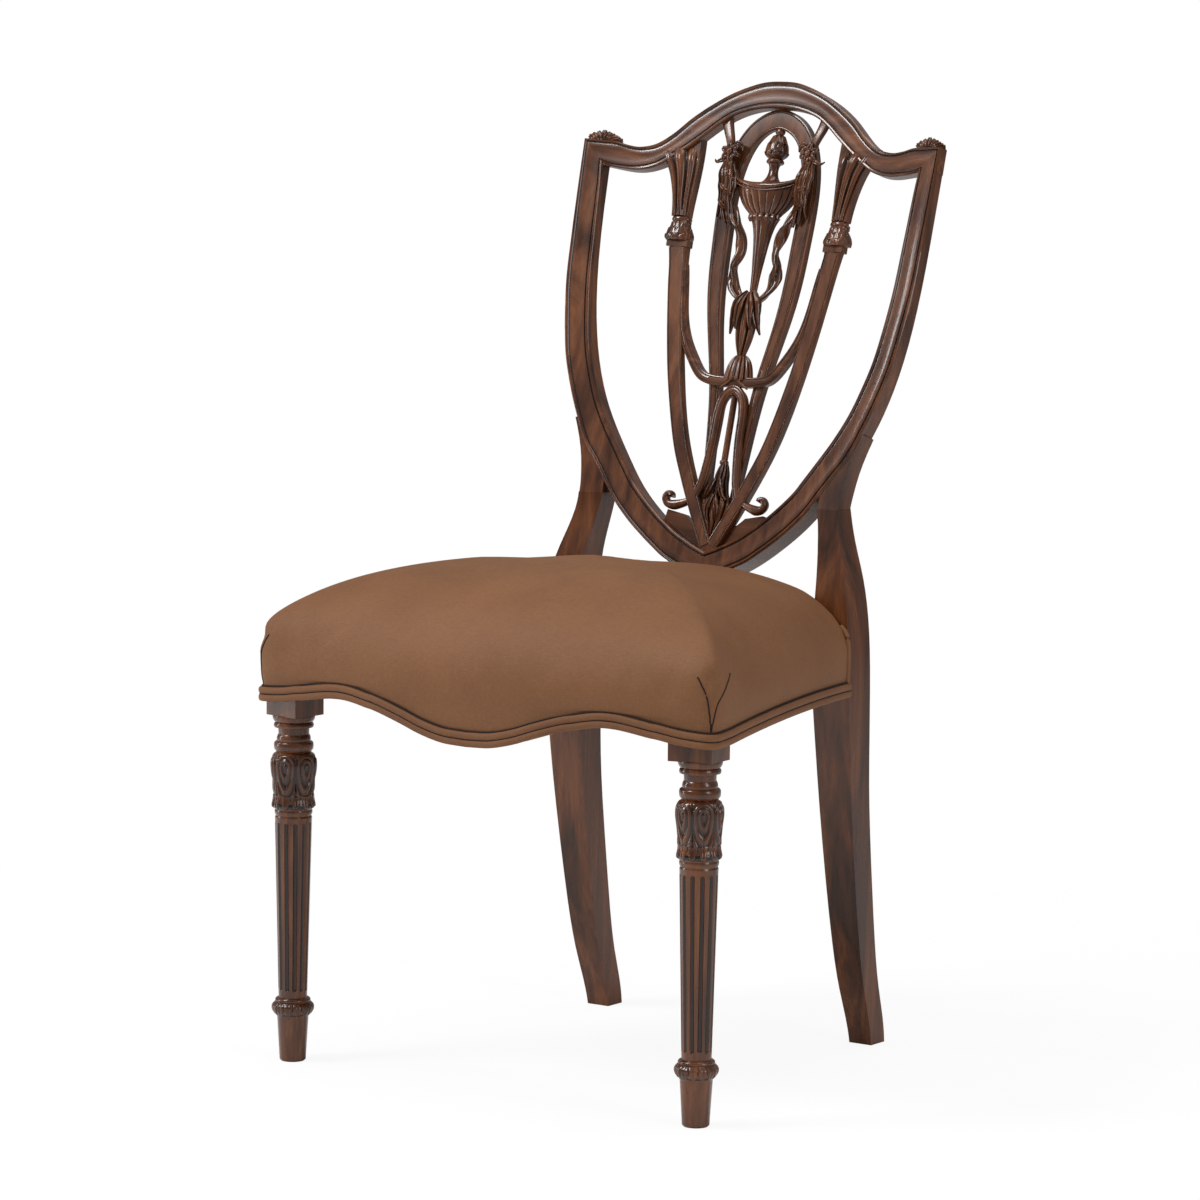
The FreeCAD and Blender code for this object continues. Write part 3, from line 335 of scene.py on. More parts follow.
def joined(pieces, name):
    """Carved pieces made one object; they share its finish and its body already."""
    bpy.ops.object.select_all(action="DESELECT")
    for piece in pieces:
        piece.select_set(True)
    bpy.context.view_layer.objects.active = pieces[0]
    bpy.ops.object.join()
    whole = bpy.context.object
    whole.name = name
    whole.data.name = name
    whole.select_set(False)
    return whole


def carved_leaf(points, widths, thickness, lobes=0.0, ridge=0.25, rows=22, twist=0.0):
    """A leaf or ribbon along points (across, depth, rise), with a midrib and scalloped edges."""
    line = smooth_line(points, rows)
    spread = smooth_line([(w, t, 0) for w, t in zip(widths, thickness)], rows)

    def place(turn, run):
        row = min(rows, round(run * rows))
        along = line[min(rows, row + 1)] - line[max(0, row - 1)]
        aside = Vector((along.z, 0, -along.x))
        aside = aside.normalized() if aside.length > 1e-6 else Vector((1, 0, 0))
        out = along.cross(aside).normalized()
        if out.y > 0:
            out = -out
        if twist:
            roll = Matrix.Rotation(twist * run * 2 * math.pi, 3, along.normalized())
            aside, out = roll @ aside, roll @ out
        half = max(spread[row].x, 0.05) / 2
        half *= 1 + lobes * math.sin(run * math.pi * 9)
        a, b = math.cos(turn * 2 * math.pi), math.sin(turn * 2 * math.pi)
        rise = b * max(spread[row].y, 0.05) / 2
        # painted shade: dark along the midrib's dip and on the leaf's sides
        dark = 0.0
        if b > 0.2:
            dip = ridge * math.exp(-(a / 0.16) ** 2)
            rise *= 1 - 2.2 * dip
            dark = min(1.0, 3.2 * dip)
        dark = max(dark, 0.85 * max(0.0, abs(a) - 0.86) / 0.14)
        return on_shield(*(line[row] + aside * (a * half) + out * rise)), dark
    return rolled("leaf", 16, rows, place, upright_carved, 70)


ear_leaves = []
for number in range(7):
    lean_out = math.radians(-72 + 24 * number)
    for depth in (4.0, 9.0, 13.0):
        reach = 11.0 - 3.2 * abs(math.sin(lean_out)) - 0.12 * depth
        tip = (201 + 17 * math.sin(lean_out), depth, 451 + reach * math.cos(lean_out) ** 0.6)
        base = (201 + 6 * math.sin(lean_out), depth - 1, 449)
        middle = ((tip[0] + base[0]) / 2, depth - 2.0, (tip[2] + base[2]) / 2 + 1)
        ear_leaves.append(carved_leaf([base, middle, tip], [5, 7.5, 4.5], [5, 6, 3.5], rows=8))
ear = joined(ear_leaves, "ear_leaves_right")
mirror_copy(ear, "ear_leaves_left")

# ---------------------------------------------------------------- outer ribs and their capitals
# A flat fretted bar with eased edges; its top is a square block, a leafy bulb, a turned
# ring and a flare of tall rounded folds that spreads under the crest.
finish_nodes(upright_wood, "outer_rib_right", "outer_rib_left")


def flat_bar(name, line, widths, front, depth, rows, material, quirk=1.6):
    """The face of a fretted bar: eased edges with a fine quirk just inside each, darkened with painted shade."""
    line = smooth_line([(a, b, 0) for a, b in line], rows)
    spread = smooth_line([(w, 0, 0) for w in widths], rows)
    # each entry: side, distance past the edge, height, painted shade (dark in the quirks)
    section = [(-1, 0.15, -depth, 0.3), (-1, 0.2, -0.4, 0), (-1, -0.4, 0.55, 0), (-1, -1.1, 0.7, 0),
               (-1, -quirk, 0.3, 0.7), (-1, -quirk - 0.6, 0.3, 0.7), (-1, -quirk - 1.1, 0.8, 0.1),
               (0, 0, 1.0, 0), (1, -quirk - 1.1, 0.8, 0.1), (1, -quirk - 0.6, 0.3, 0.7),
               (1, -quirk, 0.3, 0.7), (1, -1.1, 0.7, 0), (1, -0.4, 0.55, 0), (1, 0.2, -0.4, 0),
               (1, 0.15, -depth, 0.3)]
    count = len(section)

    def place(turn, run):
        row = min(rows, round(run * rows))
        side, extra, height, dark = section[round(turn * count) % count]
        along = (line[min(rows, row + 1)] - line[max(0, row - 1)]).normalized()
        aside = Vector((along.y, -along.x, 0))
        spot = line[row] + aside * side * (spread[row].x / 2 + extra)
        return on_shield(spot.x, front - height, spot.y), dark
    return rolled(name, count, rows, place, material, 40)


rib_face = flat_bar("outer_rib_face_right",
                    [(96.4, 343), (93.2, 325), (90.2, 300), (82.5, 250), (72.5, 200), (55.9, 140), (39, 100),
                     (19.3, 60), (4, 31)], [19, 16.5, 14.5, 13.5, 13.5, 13.5, 13.5, 13.5, 13.5],
                    4.0, 6.0, 70, upright_carved)
mirror_copy(rib_face, "outer_rib_face_left")
capital_x = 97.6
def carved_mass(name, runs, around, relief, rows, middle=8.0, deep=8.0, sink=0.0):
    """A solid carved lump from (middle, half width, rise) points, worked by relief(turn, share)."""
    line = smooth_line(runs, rows)

    def place(turn, run):
        row = min(rows, round(run * rows))
        lift, dark = relief(turn, run)
        angle = 2 * math.pi * turn
        half = max(line[row].y, 0.3)
        thick = deep * (1 - math.exp(-half / deep))
        lift = max(lift, 0.3 - thick)
        return on_shield(line[row].x + (half + 0.5 * lift) * math.cos(angle),
                         middle + sink * max(0.0, 4 * run - 3) ** 2 - (thick + lift) * math.sin(angle),
                         line[row].z), dark
    return rolled(name, around, rows, place, upright_carved, 70)


def folded(count, lift, wave=0.0, phase=0.0):
    """Long rounded folds side by side, with a groove between each two and a fine midrib, both darkened with painted
    shade.
    """
    def relief(turn, run):
        swing = (turn * count + phase + wave * math.sin(run * 17)) % 1.0 - 0.5
        body = math.sin(math.pi * min(0.5, 0.08 + 1.1 * run))
        groove = math.exp(-((1 - abs(swing) * 2) / 0.32) ** 2)
        rib = math.exp(-(swing / 0.05) ** 2)
        return body * (lift * (math.cos(swing * math.pi) ** 0.7 - 0.6) - 0.5 * lift * groove - 0.25 * lift * rib), \
            min(1.0, 0.95 * groove + 0.45 * rib)
    return relief


capital_leaves = carved_mass("capital_flare_right", [(97.6, 8.3, 375.5), (98.2, 9.2, 384), (99.3, 10.6, 394),
                                                     (101, 13.2, 410), (103.4, 16.6, 425), (107.6, 21.2, 439),
                                                     (111, 24, 452)], 200, folded(8, 3.0, 0.0, 0.5), 60,
                             3.5, 8.0, 7.0)
mirror_copy(capital_leaves, "capital_flare_left")


def turned_relief(name, axis, runs, around, relief, squeeze, rows):
    """A turning on the shield from (radius, rise) points, carved by relief(turn, share)."""
    line = smooth_line([(r, h, 0) for r, h in runs], rows)

    def place(turn, run):
        row = min(rows, round(run * rows))
        angle = 2 * math.pi * turn
        lift, dark = relief(turn, run)
        radius = max(line[row].x + lift, 0.02)
        return on_shield(axis[0] + radius * math.cos(angle), axis[1] - squeeze * radius * math.sin(angle),
                         line[row].y), dark
    return rolled(name, around, rows, place, upright_carved, 70)


def plain(turn, run):
    return 0.0, 0.0


def scale_leaves(count, tiers, lift):
    """Overlapping pointed leaves in tiers, each tier set between the leaves below."""
    def relief(turn, run):
        tier = min(tiers - 1, int(run * tiers))
        local = run * tiers - tier
        swing = (turn * count + 0.5 * (tier % 2)) % 1.0 - 0.5
        edge = 0.5 * math.sqrt(max(0.0, 1 - local ** 2))
        inside = abs(swing) < edge
        height = lift * (1 - abs(swing) * 1.3) * (0.35 + 0.65 * local) if inside else 0.0
        rib = math.exp(-(swing / 0.06) ** 2)
        # painted shade: black between the leaves and a little along each midrib
        dark = 0.35 * rib + (0.0 if inside else 1.0)
        return height - 0.3 * lift * rib, min(1.0, dark)
    return relief


bulb = turned_relief("capital_bulb_right", (capital_x, 7.0), [(13.6, 349.6), (15.2, 353), (13.2, 360), (10.4, 366),
                     (9.4, 369.6)], 120, scale_leaves(10, 3, 1.9), 0.62, 54)
mirror_copy(bulb, "capital_bulb_left")
ring = turned_relief("capital_ring_right", (capital_x, 7.5), [(8.6, 369.4), (10.7, 371), (10.9, 372.6),
                     (10.2, 374.4), (8.4, 375.6)], 48, plain, 0.75, 20)
mirror_copy(ring, "capital_ring_left")

# ---------------------------------------------------------------- hoop, stretcher and strap
# The inner bars of the splat: a tall hoop behind, the swagged stretcher across it and
# the narrow hairpin strap below, all with eased, quirked faces.
finish_nodes(upright_wood, "inner_hoop", "lower_strap", "centre_rod")
finish_nodes(level_wood, "swag_stretcher")
hoop_line = both_sides([(17.5, 82), (18.5, 95), (21.5, 140), (27.5, 200), (37.7, 250), (45.8, 300), (49, 355),
                        (50, 390), (47.5, 425), (40, 452), (24, 474), (0, 483.7)])
hoop_widths = [7, 8, 10, 12.8, 14.6, 17.6] + [19.5] * 5
flat_bar("hoop_face", hoop_line, hoop_widths + [19.5] + hoop_widths[::-1], 9.0, 4.0, 200, upright_carved)
swag_line = both_sides([(84, 318), (80, 290), (75, 262), (66, 240), (54, 221.5), (42, 208.5), (25, 203.8),
                        (0, 203.5)])
flat_bar("swag_face", swag_line, [6, 7.5, 9, 10] + [10.5] * 7 + [10, 9, 7.5, 6],
         4.0, 4.0, 120, level_carved, 1.3)
strap_line = both_sides([(26, 82), (20.4, 100), (15.8, 140), (14.7, 170), (10.5, 187.5), (0, 195.5)])
flat_bar("strap_face", strap_line, [9] * 11, 4.0, 4.0, 110, upright_carved, 1.3)
chevron = carved_leaf([(-17, 3.6, 196), (-8, 2.6, 202), (0, 2.2, 207.5), (8, 2.6, 202), (17, 3.6, 196)],
                      [2, 3, 3, 3, 2], [2, 2.6, 3, 2.6, 2], ridge=0.0, rows=24)
joined([chevron], "stretcher_chevron")
turned_relief("rod_collar", (0, 9.0), [(3.2, 116), (4.6, 117.5), (4.6, 120), (3.2, 121.5)], 24, plain, 1.0, 12)

# ---------------------------------------------------------------- urn and finial
# A flattened urn carved in the round at the front: a crescent rim, a gadrooned bowl,
# a fluted stem with a ring of petals, and an artichoke finial on a waisted foot.


def gadroons(count, lift):
    # painted shade: dark in the grooves between the gadroons
    def relief(turn, run):
        swing = abs((turn * count) % 1.0 - 0.5) * 2
        body = math.sin(math.pi * min(1.0, 0.12 + run)) ** 0.4
        groove = math.exp(-((1 - swing) / 0.2) ** 2)
        return lift * body * (math.cos(swing * math.pi / 2) ** 0.6 - 0.6) - lift * 0.5 * groove, 0.9 * groove * body
    return relief


def stem_flutes(turn, run):
    # painted shade: dark in each flute's groove
    swing = abs((turn * 8) % 1.0 - 0.5) * 2
    groove = math.exp(-((1 - swing) / 0.3) ** 2)
    return -0.9 * groove, 0.8 * groove


bowl = turned_relief("urn_bowl", (0, 11.0), [(16.6, 379.5), (19.8, 383), (25.5, 389), (31, 396), (35.4, 404),
                     (38.2, 411), (38.6, 415.5)], 264, gadroons(22, 2.1), 0.38, 44)
bowl_foot, bowl_height, rim_half, rim_sink = 0.8463, 0.0345, 0.0395, 0.0068
down_the_shield = Vector((0, -math.sin(shield_rake), -math.cos(shield_rake)))
for vertex in bowl.data.vertices:
    climb = max(0.0, (vertex.co.z - bowl_foot) / bowl_height)
    vertex.co += down_the_shield * rim_sink * (1 - (vertex.co.x / rim_half) ** 2) * climb
turned_relief("urn_stem", (0, 11.0), [(3.9, 289), (4.3, 300), (5.4, 318), (7, 333), (8.6, 347), (10.6, 360),
              (13.5, 371), (17.5, 379)], 160, stem_flutes, 0.62, 60)
rim_line = [(-41.5, 0, 421.5), (-31, 0, 415.6), (-16, 0, 411.6), (0, 0, 410.4), (16, 0, 411.6), (31, 0, 415.6),
            (41.5, 0, 421.5)]
rim_line = [(a, -1.6 + 0.0036 * a * a, c) for a, b, c in rim_line]
rim = carved_leaf(rim_line, [3, 6, 8, 8.6, 8, 6, 3], [5, 7, 8, 8, 8, 7, 5], ridge=0.0, rows=60)
fillet_line = [(a, b - 1.8, c - 4.6) for a, b, c in rim_line]
fillet = carved_leaf(fillet_line, [1.5, 2, 2.4, 2.6, 2.4, 2, 1.5], [2, 3, 3, 3, 3, 3, 2], ridge=0.0, rows=60)
joined([rim, fillet], "urn_rim")
petals = []
for number in range(7):
    turn = math.radians(-72 + 24 * number)
    x, w = 17.3 * math.sin(turn), 10.6 - 9.4 * math.cos(turn)
    petals.append(carved_leaf([(x * 0.95, w + 1, 374.5), (x, w - 0.2, 378), (x * 1.05, w + 0.4, 382)],
                              [3, 5.4, 4], [2, 2.4, 1.4], ridge=0.2, rows=10))
joined(petals, "urn_petals")
turned_relief("finial_foot", (0, 12.0), [(13.5, 412), (14.5, 414), (9.5, 418.5), (6.6, 423), (5.3, 429), (5.8, 434),
              (7.2, 437)], 40, plain, 0.8, 40)
turned_relief("finial_ring", (0, 12.5), [(6.2, 436.4), (9.2, 437.6), (9.8, 439.4), (8.8, 441.4), (7, 442.6)], 40,
              plain, 0.85, 20)
turned_relief("finial_bud", (0, 12.5), [(7.5, 442), (11.8, 446), (12.8, 450), (11.2, 457), (8.3, 463),
              (5.4, 467.5)], 120, scale_leaves(8, 3, 1.3), 0.8, 54)
turned_relief("finial_knob", (0, 13.0), [(4.6, 466.8), (4.0, 468), (5.6, 471), (4.8, 474.6)], 32, plain, 0.8, 20)
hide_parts("urn")
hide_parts("urn_finial")

# ---------------------------------------------------------------- drapery and rosettes
# On each side of the urn a flower hangs from the crest on a thin stem, and gathered
# cloth folds fall from it in front of the hoop and end in a curled tip.
rosette_x, rosette_z = 48.5, 446.0
cloth = []
cloth.append(carved_leaf([(61, 5.0, 483), (58.5, 4.5, 474), (53, 3.5, 460), (49.5, 3.5, 448)], [14, 11, 9, 9],
                         [6, 6, 6, 6], ridge=0.12, rows=16))
for number in range(6):
    turn = math.radians(60 * number + 20)
    tip = (rosette_x + 12.0 * math.cos(turn), 2.0, rosette_z + 12.5 * math.sin(turn))
    mid = (rosette_x + 7.5 * math.cos(turn), -1.6, rosette_z + 7.5 * math.sin(turn))
    cloth.append(carved_leaf([(rosette_x, 2.0, rosette_z), mid, tip], [3.5, 8.0, 3.0], [4, 4.5, 2.5], ridge=0.3,
                             rows=12))
cloth.append(carved_leaf([(rosette_x, 1, rosette_z - 4), (rosette_x, -2.4, rosette_z), (rosette_x, 1, rosette_z + 4)],
                         [3, 7.5, 3], [4, 6, 4], ridge=0.0, rows=10))
cloth.append(carved_leaf([(52, 3, 440), (59, 0.5, 436.5), (64, 1.5, 435), (68, 4, 438)], [5, 6.5, 4, 1.2],
                         [4, 4.5, 3, 1.5], rows=14))
cloth.append(carved_leaf([(46, 3, 452), (41, 0, 455.5), (36, 0.5, 453), (34.5, 2.5, 448)], [5, 6.5, 5.5, 2],
                         [4, 4.5, 4, 2], rows=14))
fold_lines = [
    ([(48, 3, 441), (45, -1.0, 428), (43, -1.4, 412), (43.5, 0.2, 396), (42, 3, 382), (38.5, 6, 369)],
     [5, 8.5, 9, 8, 7, 4]),
    ([(50.5, 3, 442), (50.5, -1.6, 430), (48, -2.6, 414), (48.5, -1.0, 398), (48.5, 2, 384), (46, 5, 372)],
     [5, 8.5, 9, 8.5, 7, 3]),
    ([(52, 4, 440), (55, 1.0, 427), (53.5, 0.2, 412), (52.5, 1.2, 398), (53, 3.2, 385), (55.5, 5, 377)],
     [4, 6.5, 7.5, 7, 5.5, 1.5]),
    ([(46, 4, 436), (40, 2.5, 424), (38, 2.0, 410), (40, 3, 394), (38, 5, 382)], [4, 6, 6.5, 5.5, 3]),
    ([(53, 0.8, 430), (46, -3.2, 422), (38, -0.8, 416)], [4, 6, 3]),
    ([(54.5, 1.0, 414), (47, -3.6, 406), (38.5, -0.8, 400)], [4, 6, 3]),
    ([(53.5, 2.0, 398), (48, -2.0, 390), (41, 1.2, 384)], [3.5, 5.5, 2.5])]
for points, widths in fold_lines:
    cloth.append(carved_leaf(points, widths, [5] + [7.5] * (len(points) - 2) + [3.5], lobes=0.16, ridge=0.2,
                             rows=30))
drape = joined(cloth, "drapery_carving_right")
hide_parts("drapery_right")
drape_left = mirror_copy(drape, "drapery_carving_left")
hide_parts("drapery_left")

# ---------------------------------------------------------------- ribbons
# From each fold a twisted ribbon of two strands winds down to the husk on the middle line.
ribbon_line = [(40, 6.5, 388), (36, 7.0, 380), (28.5, 7.5, 364), (23.5, 7.5, 350), (22, 7.5, 338), (27.5, 7.5, 324),
               (25, 7.5, 308), (18, 7.5, 296), (9, 7.5, 288)]
strand = carved_leaf(ribbon_line, [10, 13, 14.5, 12, 9.5, 14, 14, 12, 8], [5, 5.5, 6, 5.5, 5.5, 6, 6, 6, 5],
                     ridge=0.3, rows=80, twist=1.3)
second = carved_leaf([(a - 1.5, b + 2.5, c + 1) for a, b, c in ribbon_line], [8, 11, 12, 10, 8, 11, 11, 9, 6],
                     [4, 5, 5, 5, 4, 5, 5, 5, 4], ridge=0.3, rows=80, twist=-1.1)
ribbon = joined([strand, second], "ribbon_carving_right")
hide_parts("ribbon_right")
ribbon_left = mirror_copy(ribbon, "ribbon_carving_left")
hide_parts("ribbon_left")

# ---------------------------------------------------------------- husk drop and calyx
# A bell flower with two spread petals and a long closed one between them, over a small
# dome of leaves that covers the crossing of stretcher and hoop.
husk = [carved_mass("husk_bud", [(0, 6, 296), (0, 10, 284), (0, 11.5, 270), (0, 10.6, 257), (0, 8.2, 245),
                                 (0, 4.6, 234), (0, 3, 228)], 150, folded(6, 3.0), 60, 8.0, 8.0)]
for side in (1, -1):
    husk.append(carved_leaf([(side * 3, 8, 299), (side * 9, 4, 289), (side * 13, 3.2, 275), (side * 16, 5.5, 263),
                             (side * 18.5, 8.5, 254.5)], [7, 13, 14.5, 10, 1.5], [8, 11, 11, 8, 3], lobes=0.04,
                            ridge=0.3, rows=30))
    husk.append(carved_leaf([(side * 1.5, 4.5, 298), (side * 5.6, -0.4, 287), (side * 7.6, -0.8, 273),
                             (side * 9, 2.6, 259)], [4, 9, 10, 2.5], [5, 7, 7, 3], ridge=0.3, rows=24))
husk = joined(husk, "husk_carving")
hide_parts("husk_drop")
calyx = turned_relief("calyx_carving", (0, 9.5), [(3.2, 233.5), (7.4, 231), (11.4, 226), (14.2, 219), (16, 211),
                      (16.6, 206.5), (15.2, 204.5)], 240, folded(16, 2.4), 0.6, 44)
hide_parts("leaf_calyx")

# ---------------------------------------------------------------- acanthus spray
# The tall folded leaf that the rod stands on, with two side leaves that curl outwards
# and small curled leaflets at its foot.
spray = [carved_mass("spray_leaf", [(1.6, 2.2, 120.5), (1.4, 5, 115), (1, 7.6, 106), (0.6, 8.6, 96), (0.2, 11, 86),
                                    (0, 15.4, 78), (0, 16.6, 71), (0, 13, 61), (0, 8, 51), (0, 3, 42)], 200,
                     folded(10, 3.4, 0.1), 96, 8.5, 8.5)]
for side in (1, -1):
    spray.append(carved_leaf([(side * 3, 2.5, 100), (side * 6, 0.2, 92), (side * 9, 0.4, 84), (side * 13.5, 2.5, 79)],
                             [3, 6.5, 6.5, 2.5], [4, 6, 6, 3], lobes=0.08, ridge=0.3, rows=22))
    spray.append(carved_leaf([(side * 1.5, 1.5, 84), (side * 4.2, -0.8, 75), (side * 6.2, 0, 66),
                              (side * 5, 2.5, 57)],
                             [3, 6.5, 6, 2.5], [4, 6, 6, 3], lobes=0.08, ridge=0.3, rows=22))
spray = joined(spray, "acanthus_carving")
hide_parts("acanthus_spray")

# ---------------------------------------------------------------- shoe plate and scrolls
# A flat plate inside the foot of the shield, with a volute standing over each end.
finish_nodes(level_wood, "shoe_plate")
volute = [(29, 8.5, 80), (37, 8, 75), (45, 7.5, 72), (52, 7, 70.6), (58.4, 6.6, 72.2), (61.2, 6.3, 77),
          (59, 6, 81.6), (55, 5.6, 82), (53.6, 5.2, 79.2)]
scroll = carved_leaf(volute, [6, 7, 8, 10, 10.5, 9.5, 8.5, 7, 5], [9, 9.5, 10, 10.5, 10.5, 10.5, 10.5, 11, 11.5],
                     ridge=0.06, rows=80)
scroll = joined([scroll], "scroll_carving_right")
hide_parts("scroll_right")
scroll_left = mirror_copy(scroll, "scroll_carving_left")
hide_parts("scroll_left")

# ---------------------------------------------------------------- front legs
# Turned mahogany: a square block, rings, a vase carved with acanthus, a fluted taper,
# a collar of drooping petals and a plain foot. Painted shade darkens the flutes.
leg_axis = (245.0, -236.38)


def painted_flute_shade(tree):
    """Painted shade for the flutes: how far a point lies inside the taper's round, along the height of the flutes."""
    def sum_of(operation, *values):
        return node(tree, "Math", *values, operation=operation).outputs[0]
    place = node(tree, "SeparateXYZ", node(tree, "TexCoord").outputs["Object"]).outputs
    aside = sum_of("SUBTRACT", sum_of("ABSOLUTE", place["X"]), 0.245)
    ahead = sum_of("ADD", place["Y"], 0.23638)
    radius = sum_of("SQRT", sum_of("ADD", sum_of("MULTIPLY", aside, aside), sum_of("MULTIPLY", ahead, ahead)))
    taper, foot_radius, flute_foot, flute_head = 0.02295, 0.01291, 0.067, 0.247
    full = sum_of("MULTIPLY_ADD", place["Z"], taper, foot_radius)
    inward = sum_of("MULTIPLY", sum_of("SUBTRACT", full, radius), 900.0)
    shaded = sum_of("MINIMUM", sum_of("MAXIMUM", sum_of("SUBTRACT", inward, 0.35), 0.0), 1.0)
    between = sum_of("MULTIPLY", sum_of("GREATER_THAN", place["Z"], flute_foot),
                     sum_of("LESS_THAN", place["Z"], flute_head))
    return sum_of("MULTIPLY", shaded, between)


fluted_wood = mahogany("mahogany_fluted", (38, 38, 6), painted_flute_shade)
finish_nodes(fluted_wood, "front_leg_right", "front_leg_left")


def leg_sleeve(name, runs, around, rows, relief):
    """A carved skin round the front leg from (radius, height) points."""
    line = smooth_line([(r, h, 0) for r, h in runs], rows)

    def place(turn, run):
        row = min(rows, round(run * rows))
        lift, dark = relief(turn, run)
        angle = 2 * math.pi * turn
        radius = line[row].x + lift
        return Vector((leg_axis[0] + radius * math.cos(angle), leg_axis[1] + radius * math.sin(angle),
                       line[row].y)) * 0.001, dark
    piece = rolled(name + "_right", around, rows, place, upright_carved, 70)
    mirror_copy(piece, name + "_left")
    return piece


def acanthus(turn, run):
    """Six tall leaves with rolled tops, nested folds and a row of leaf tips under them."""
    # the second value is painted shade: dark in the folds, at the leaves' edges, along the ribs and between the tips
    swing = (turn * 6 + 0.25) % 1.0 - 0.5
    fade = min(1.0, 8 * (1 - run)) * min(1.0, 10 * run)
    tips_share = 0.26
    if run > tips_share:
        local = (run - tips_share) / (1 - tips_share)
        ring = math.sqrt((swing / 0.5) ** 2 + ((local - 0.72) / 0.78) ** 2 * (1.0 if local < 0.72 else 7.0))
        fold = 0.5 + 0.5 * math.cos(ring * 5.2 * math.pi)
        edge = min(1.0, abs(abs(swing) - 0.5) / 0.07)
        rib = math.exp(-(swing / 0.035) ** 2) * (1.0 if local < 0.55 else 0.0)
        height = (0.25 + 1.35 * fold) * edge - 0.5 * rib
        return height * fade, min(1.0, 0.95 * (1 - fold) ** 2 + (1 - edge) + 0.7 * rib) * min(1.0, fade + 0.2)
    tips = (turn * 12) % 1.0 - 0.5
    local = run / tips_share
    inside = abs(tips) < 0.12 + 0.36 * local
    rib = math.exp(-(tips / 0.07) ** 2)
    height = (1.5 * (1 - 1.2 * abs(tips)) - 0.7 * rib) if inside else 0.0
    return height * min(1.0, 6 * local + 0.2), 0.6 * rib if inside else 1.0


def drooping_petals(turn, run):
    # painted shade: dark between the petals and along their ribs, black outside them
    swing = (turn * 14) % 1.0 - 0.5
    inside = abs(swing) < 0.5 * min(1.0, 0.25 + 1.6 * run)
    rib = math.exp(-(swing / 0.09) ** 2)
    gap = max(0.0, (abs(swing) - 0.38) / 0.12)
    height = (1.1 - 0.5 * rib - 1.0 * gap) if inside else -0.2
    return height * math.sin(math.pi * min(1.0, 0.15 + 0.8 * run)), (0.35 * rib + 0.9 * gap) if inside else 1.0


leg_sleeve("vase_carving", [(19.2, 257), (20.9, 260), (19.6, 268), (19.7, 278), (20.4, 288), (21.7, 298),
                            (21.6, 305), (20.2, 311.5), (18.6, 312.6)], 288, 84, acanthus)
leg_sleeve("collar_petals", [(17.2, 47.2), (18.6, 49.5), (20.2, 53), (20.3, 57), (18.0, 60.4)], 224, 26,
           drooping_petals)
leg_sleeve("collar_ring", [(16.4, 60.2), (17.6, 61), (17.9, 62.4), (17.2, 63.8), (15.4, 65)], 64, 14, plain)
leg_sleeve("upper_ring", [(17.6, 315.2), (19.3, 316.6), (19.8, 319), (19.8, 321.6), (19.2, 323.8), (17.4, 325)],
           64, 20, plain)

# ---------------------------------------------------------------- upholstered seat
# Stuffed over the rails and covered in brown satin-faced cloth: a high crown, sides that
# draw in to a serpentine lower edge, and a pair of tucks at each front corner.


def woven(name, pale, dark, threads, rough, bump=0.25):
    """Cloth: a fine two-way weave, with slow shifts of tone over its surface."""
    cloth, tree, surface = material(name)
    where = node(tree, "TexCoord").outputs["Object"]
    clouds = node(tree, "TexNoise", where, Scale=9.0, Detail=3.0).outputs["Fac"]
    tone = ramp(tree, clouds, (0.3, dark), (0.7, pale))
    slow = threads * 0.22
    slubs = []
    for stretch in ((threads, threads, slow), (slow, slow, threads)):
        spread = node(tree, "Mapping", where, Scale=stretch)
        slubs.append(node(tree, "TexNoise", spread.outputs[0], Scale=1.0, Detail=1.0).outputs["Fac"])
    weave = node(tree, "Math", *slubs, operation="ADD").outputs[0]
    shade = node(tree, "MapRange", weave, From_Min=0.7, From_Max=1.3, To_Min=0.9, To_Max=1.08)
    mixed = node(tree, "Mix", data_type="RGBA", blend_type="MULTIPLY", Factor=1.0, A=tone,
                 B=shade.outputs["Result"])
    relief = node(tree, "Bump", Strength=bump, Distance=0.0004, Height=weave)
    feed(surface, {"Base Color": mixed.outputs["Result"], "Normal": relief.outputs["Normal"],
                   "Roughness": rough, "Specular IOR Level": 0.25})
    return cloth


seat_cloth = woven("brown_satin_cloth", (0.186, 0.081, 0.033), (0.150, 0.063, 0.025), 900, 0.66)
welt_cloth = woven("welt_cloth", (0.176, 0.076, 0.031), (0.136, 0.056, 0.023), 900, 0.66)
front_y, back_y, seat_shift = -23.0, 384.0, -236.38
edge_line = smooth_line([(0, 345.5, 0), (27.6, 346.9, 0), (55.2, 352.7, 0), (82.8, 361.7, 0), (118.7, 371.4, 0),
                         (161.5, 377.4, 0), (212.5, 371.2, 0), (240, 367.2, 0), (276, 365, 0), (330, 365, 0)], 160)


def lower_edge(x, y):
    """Height of the seat's lower edge: serpentine in front, slightly arched at the sides."""
    if y > 23:
        return 365.5 + 6.3 * (1 - ((y - 233.5) / 210.5) ** 2)
    near = min(range(len(edge_line)), key=lambda n: abs(edge_line[n].x - abs(x)))
    return edge_line[near].y


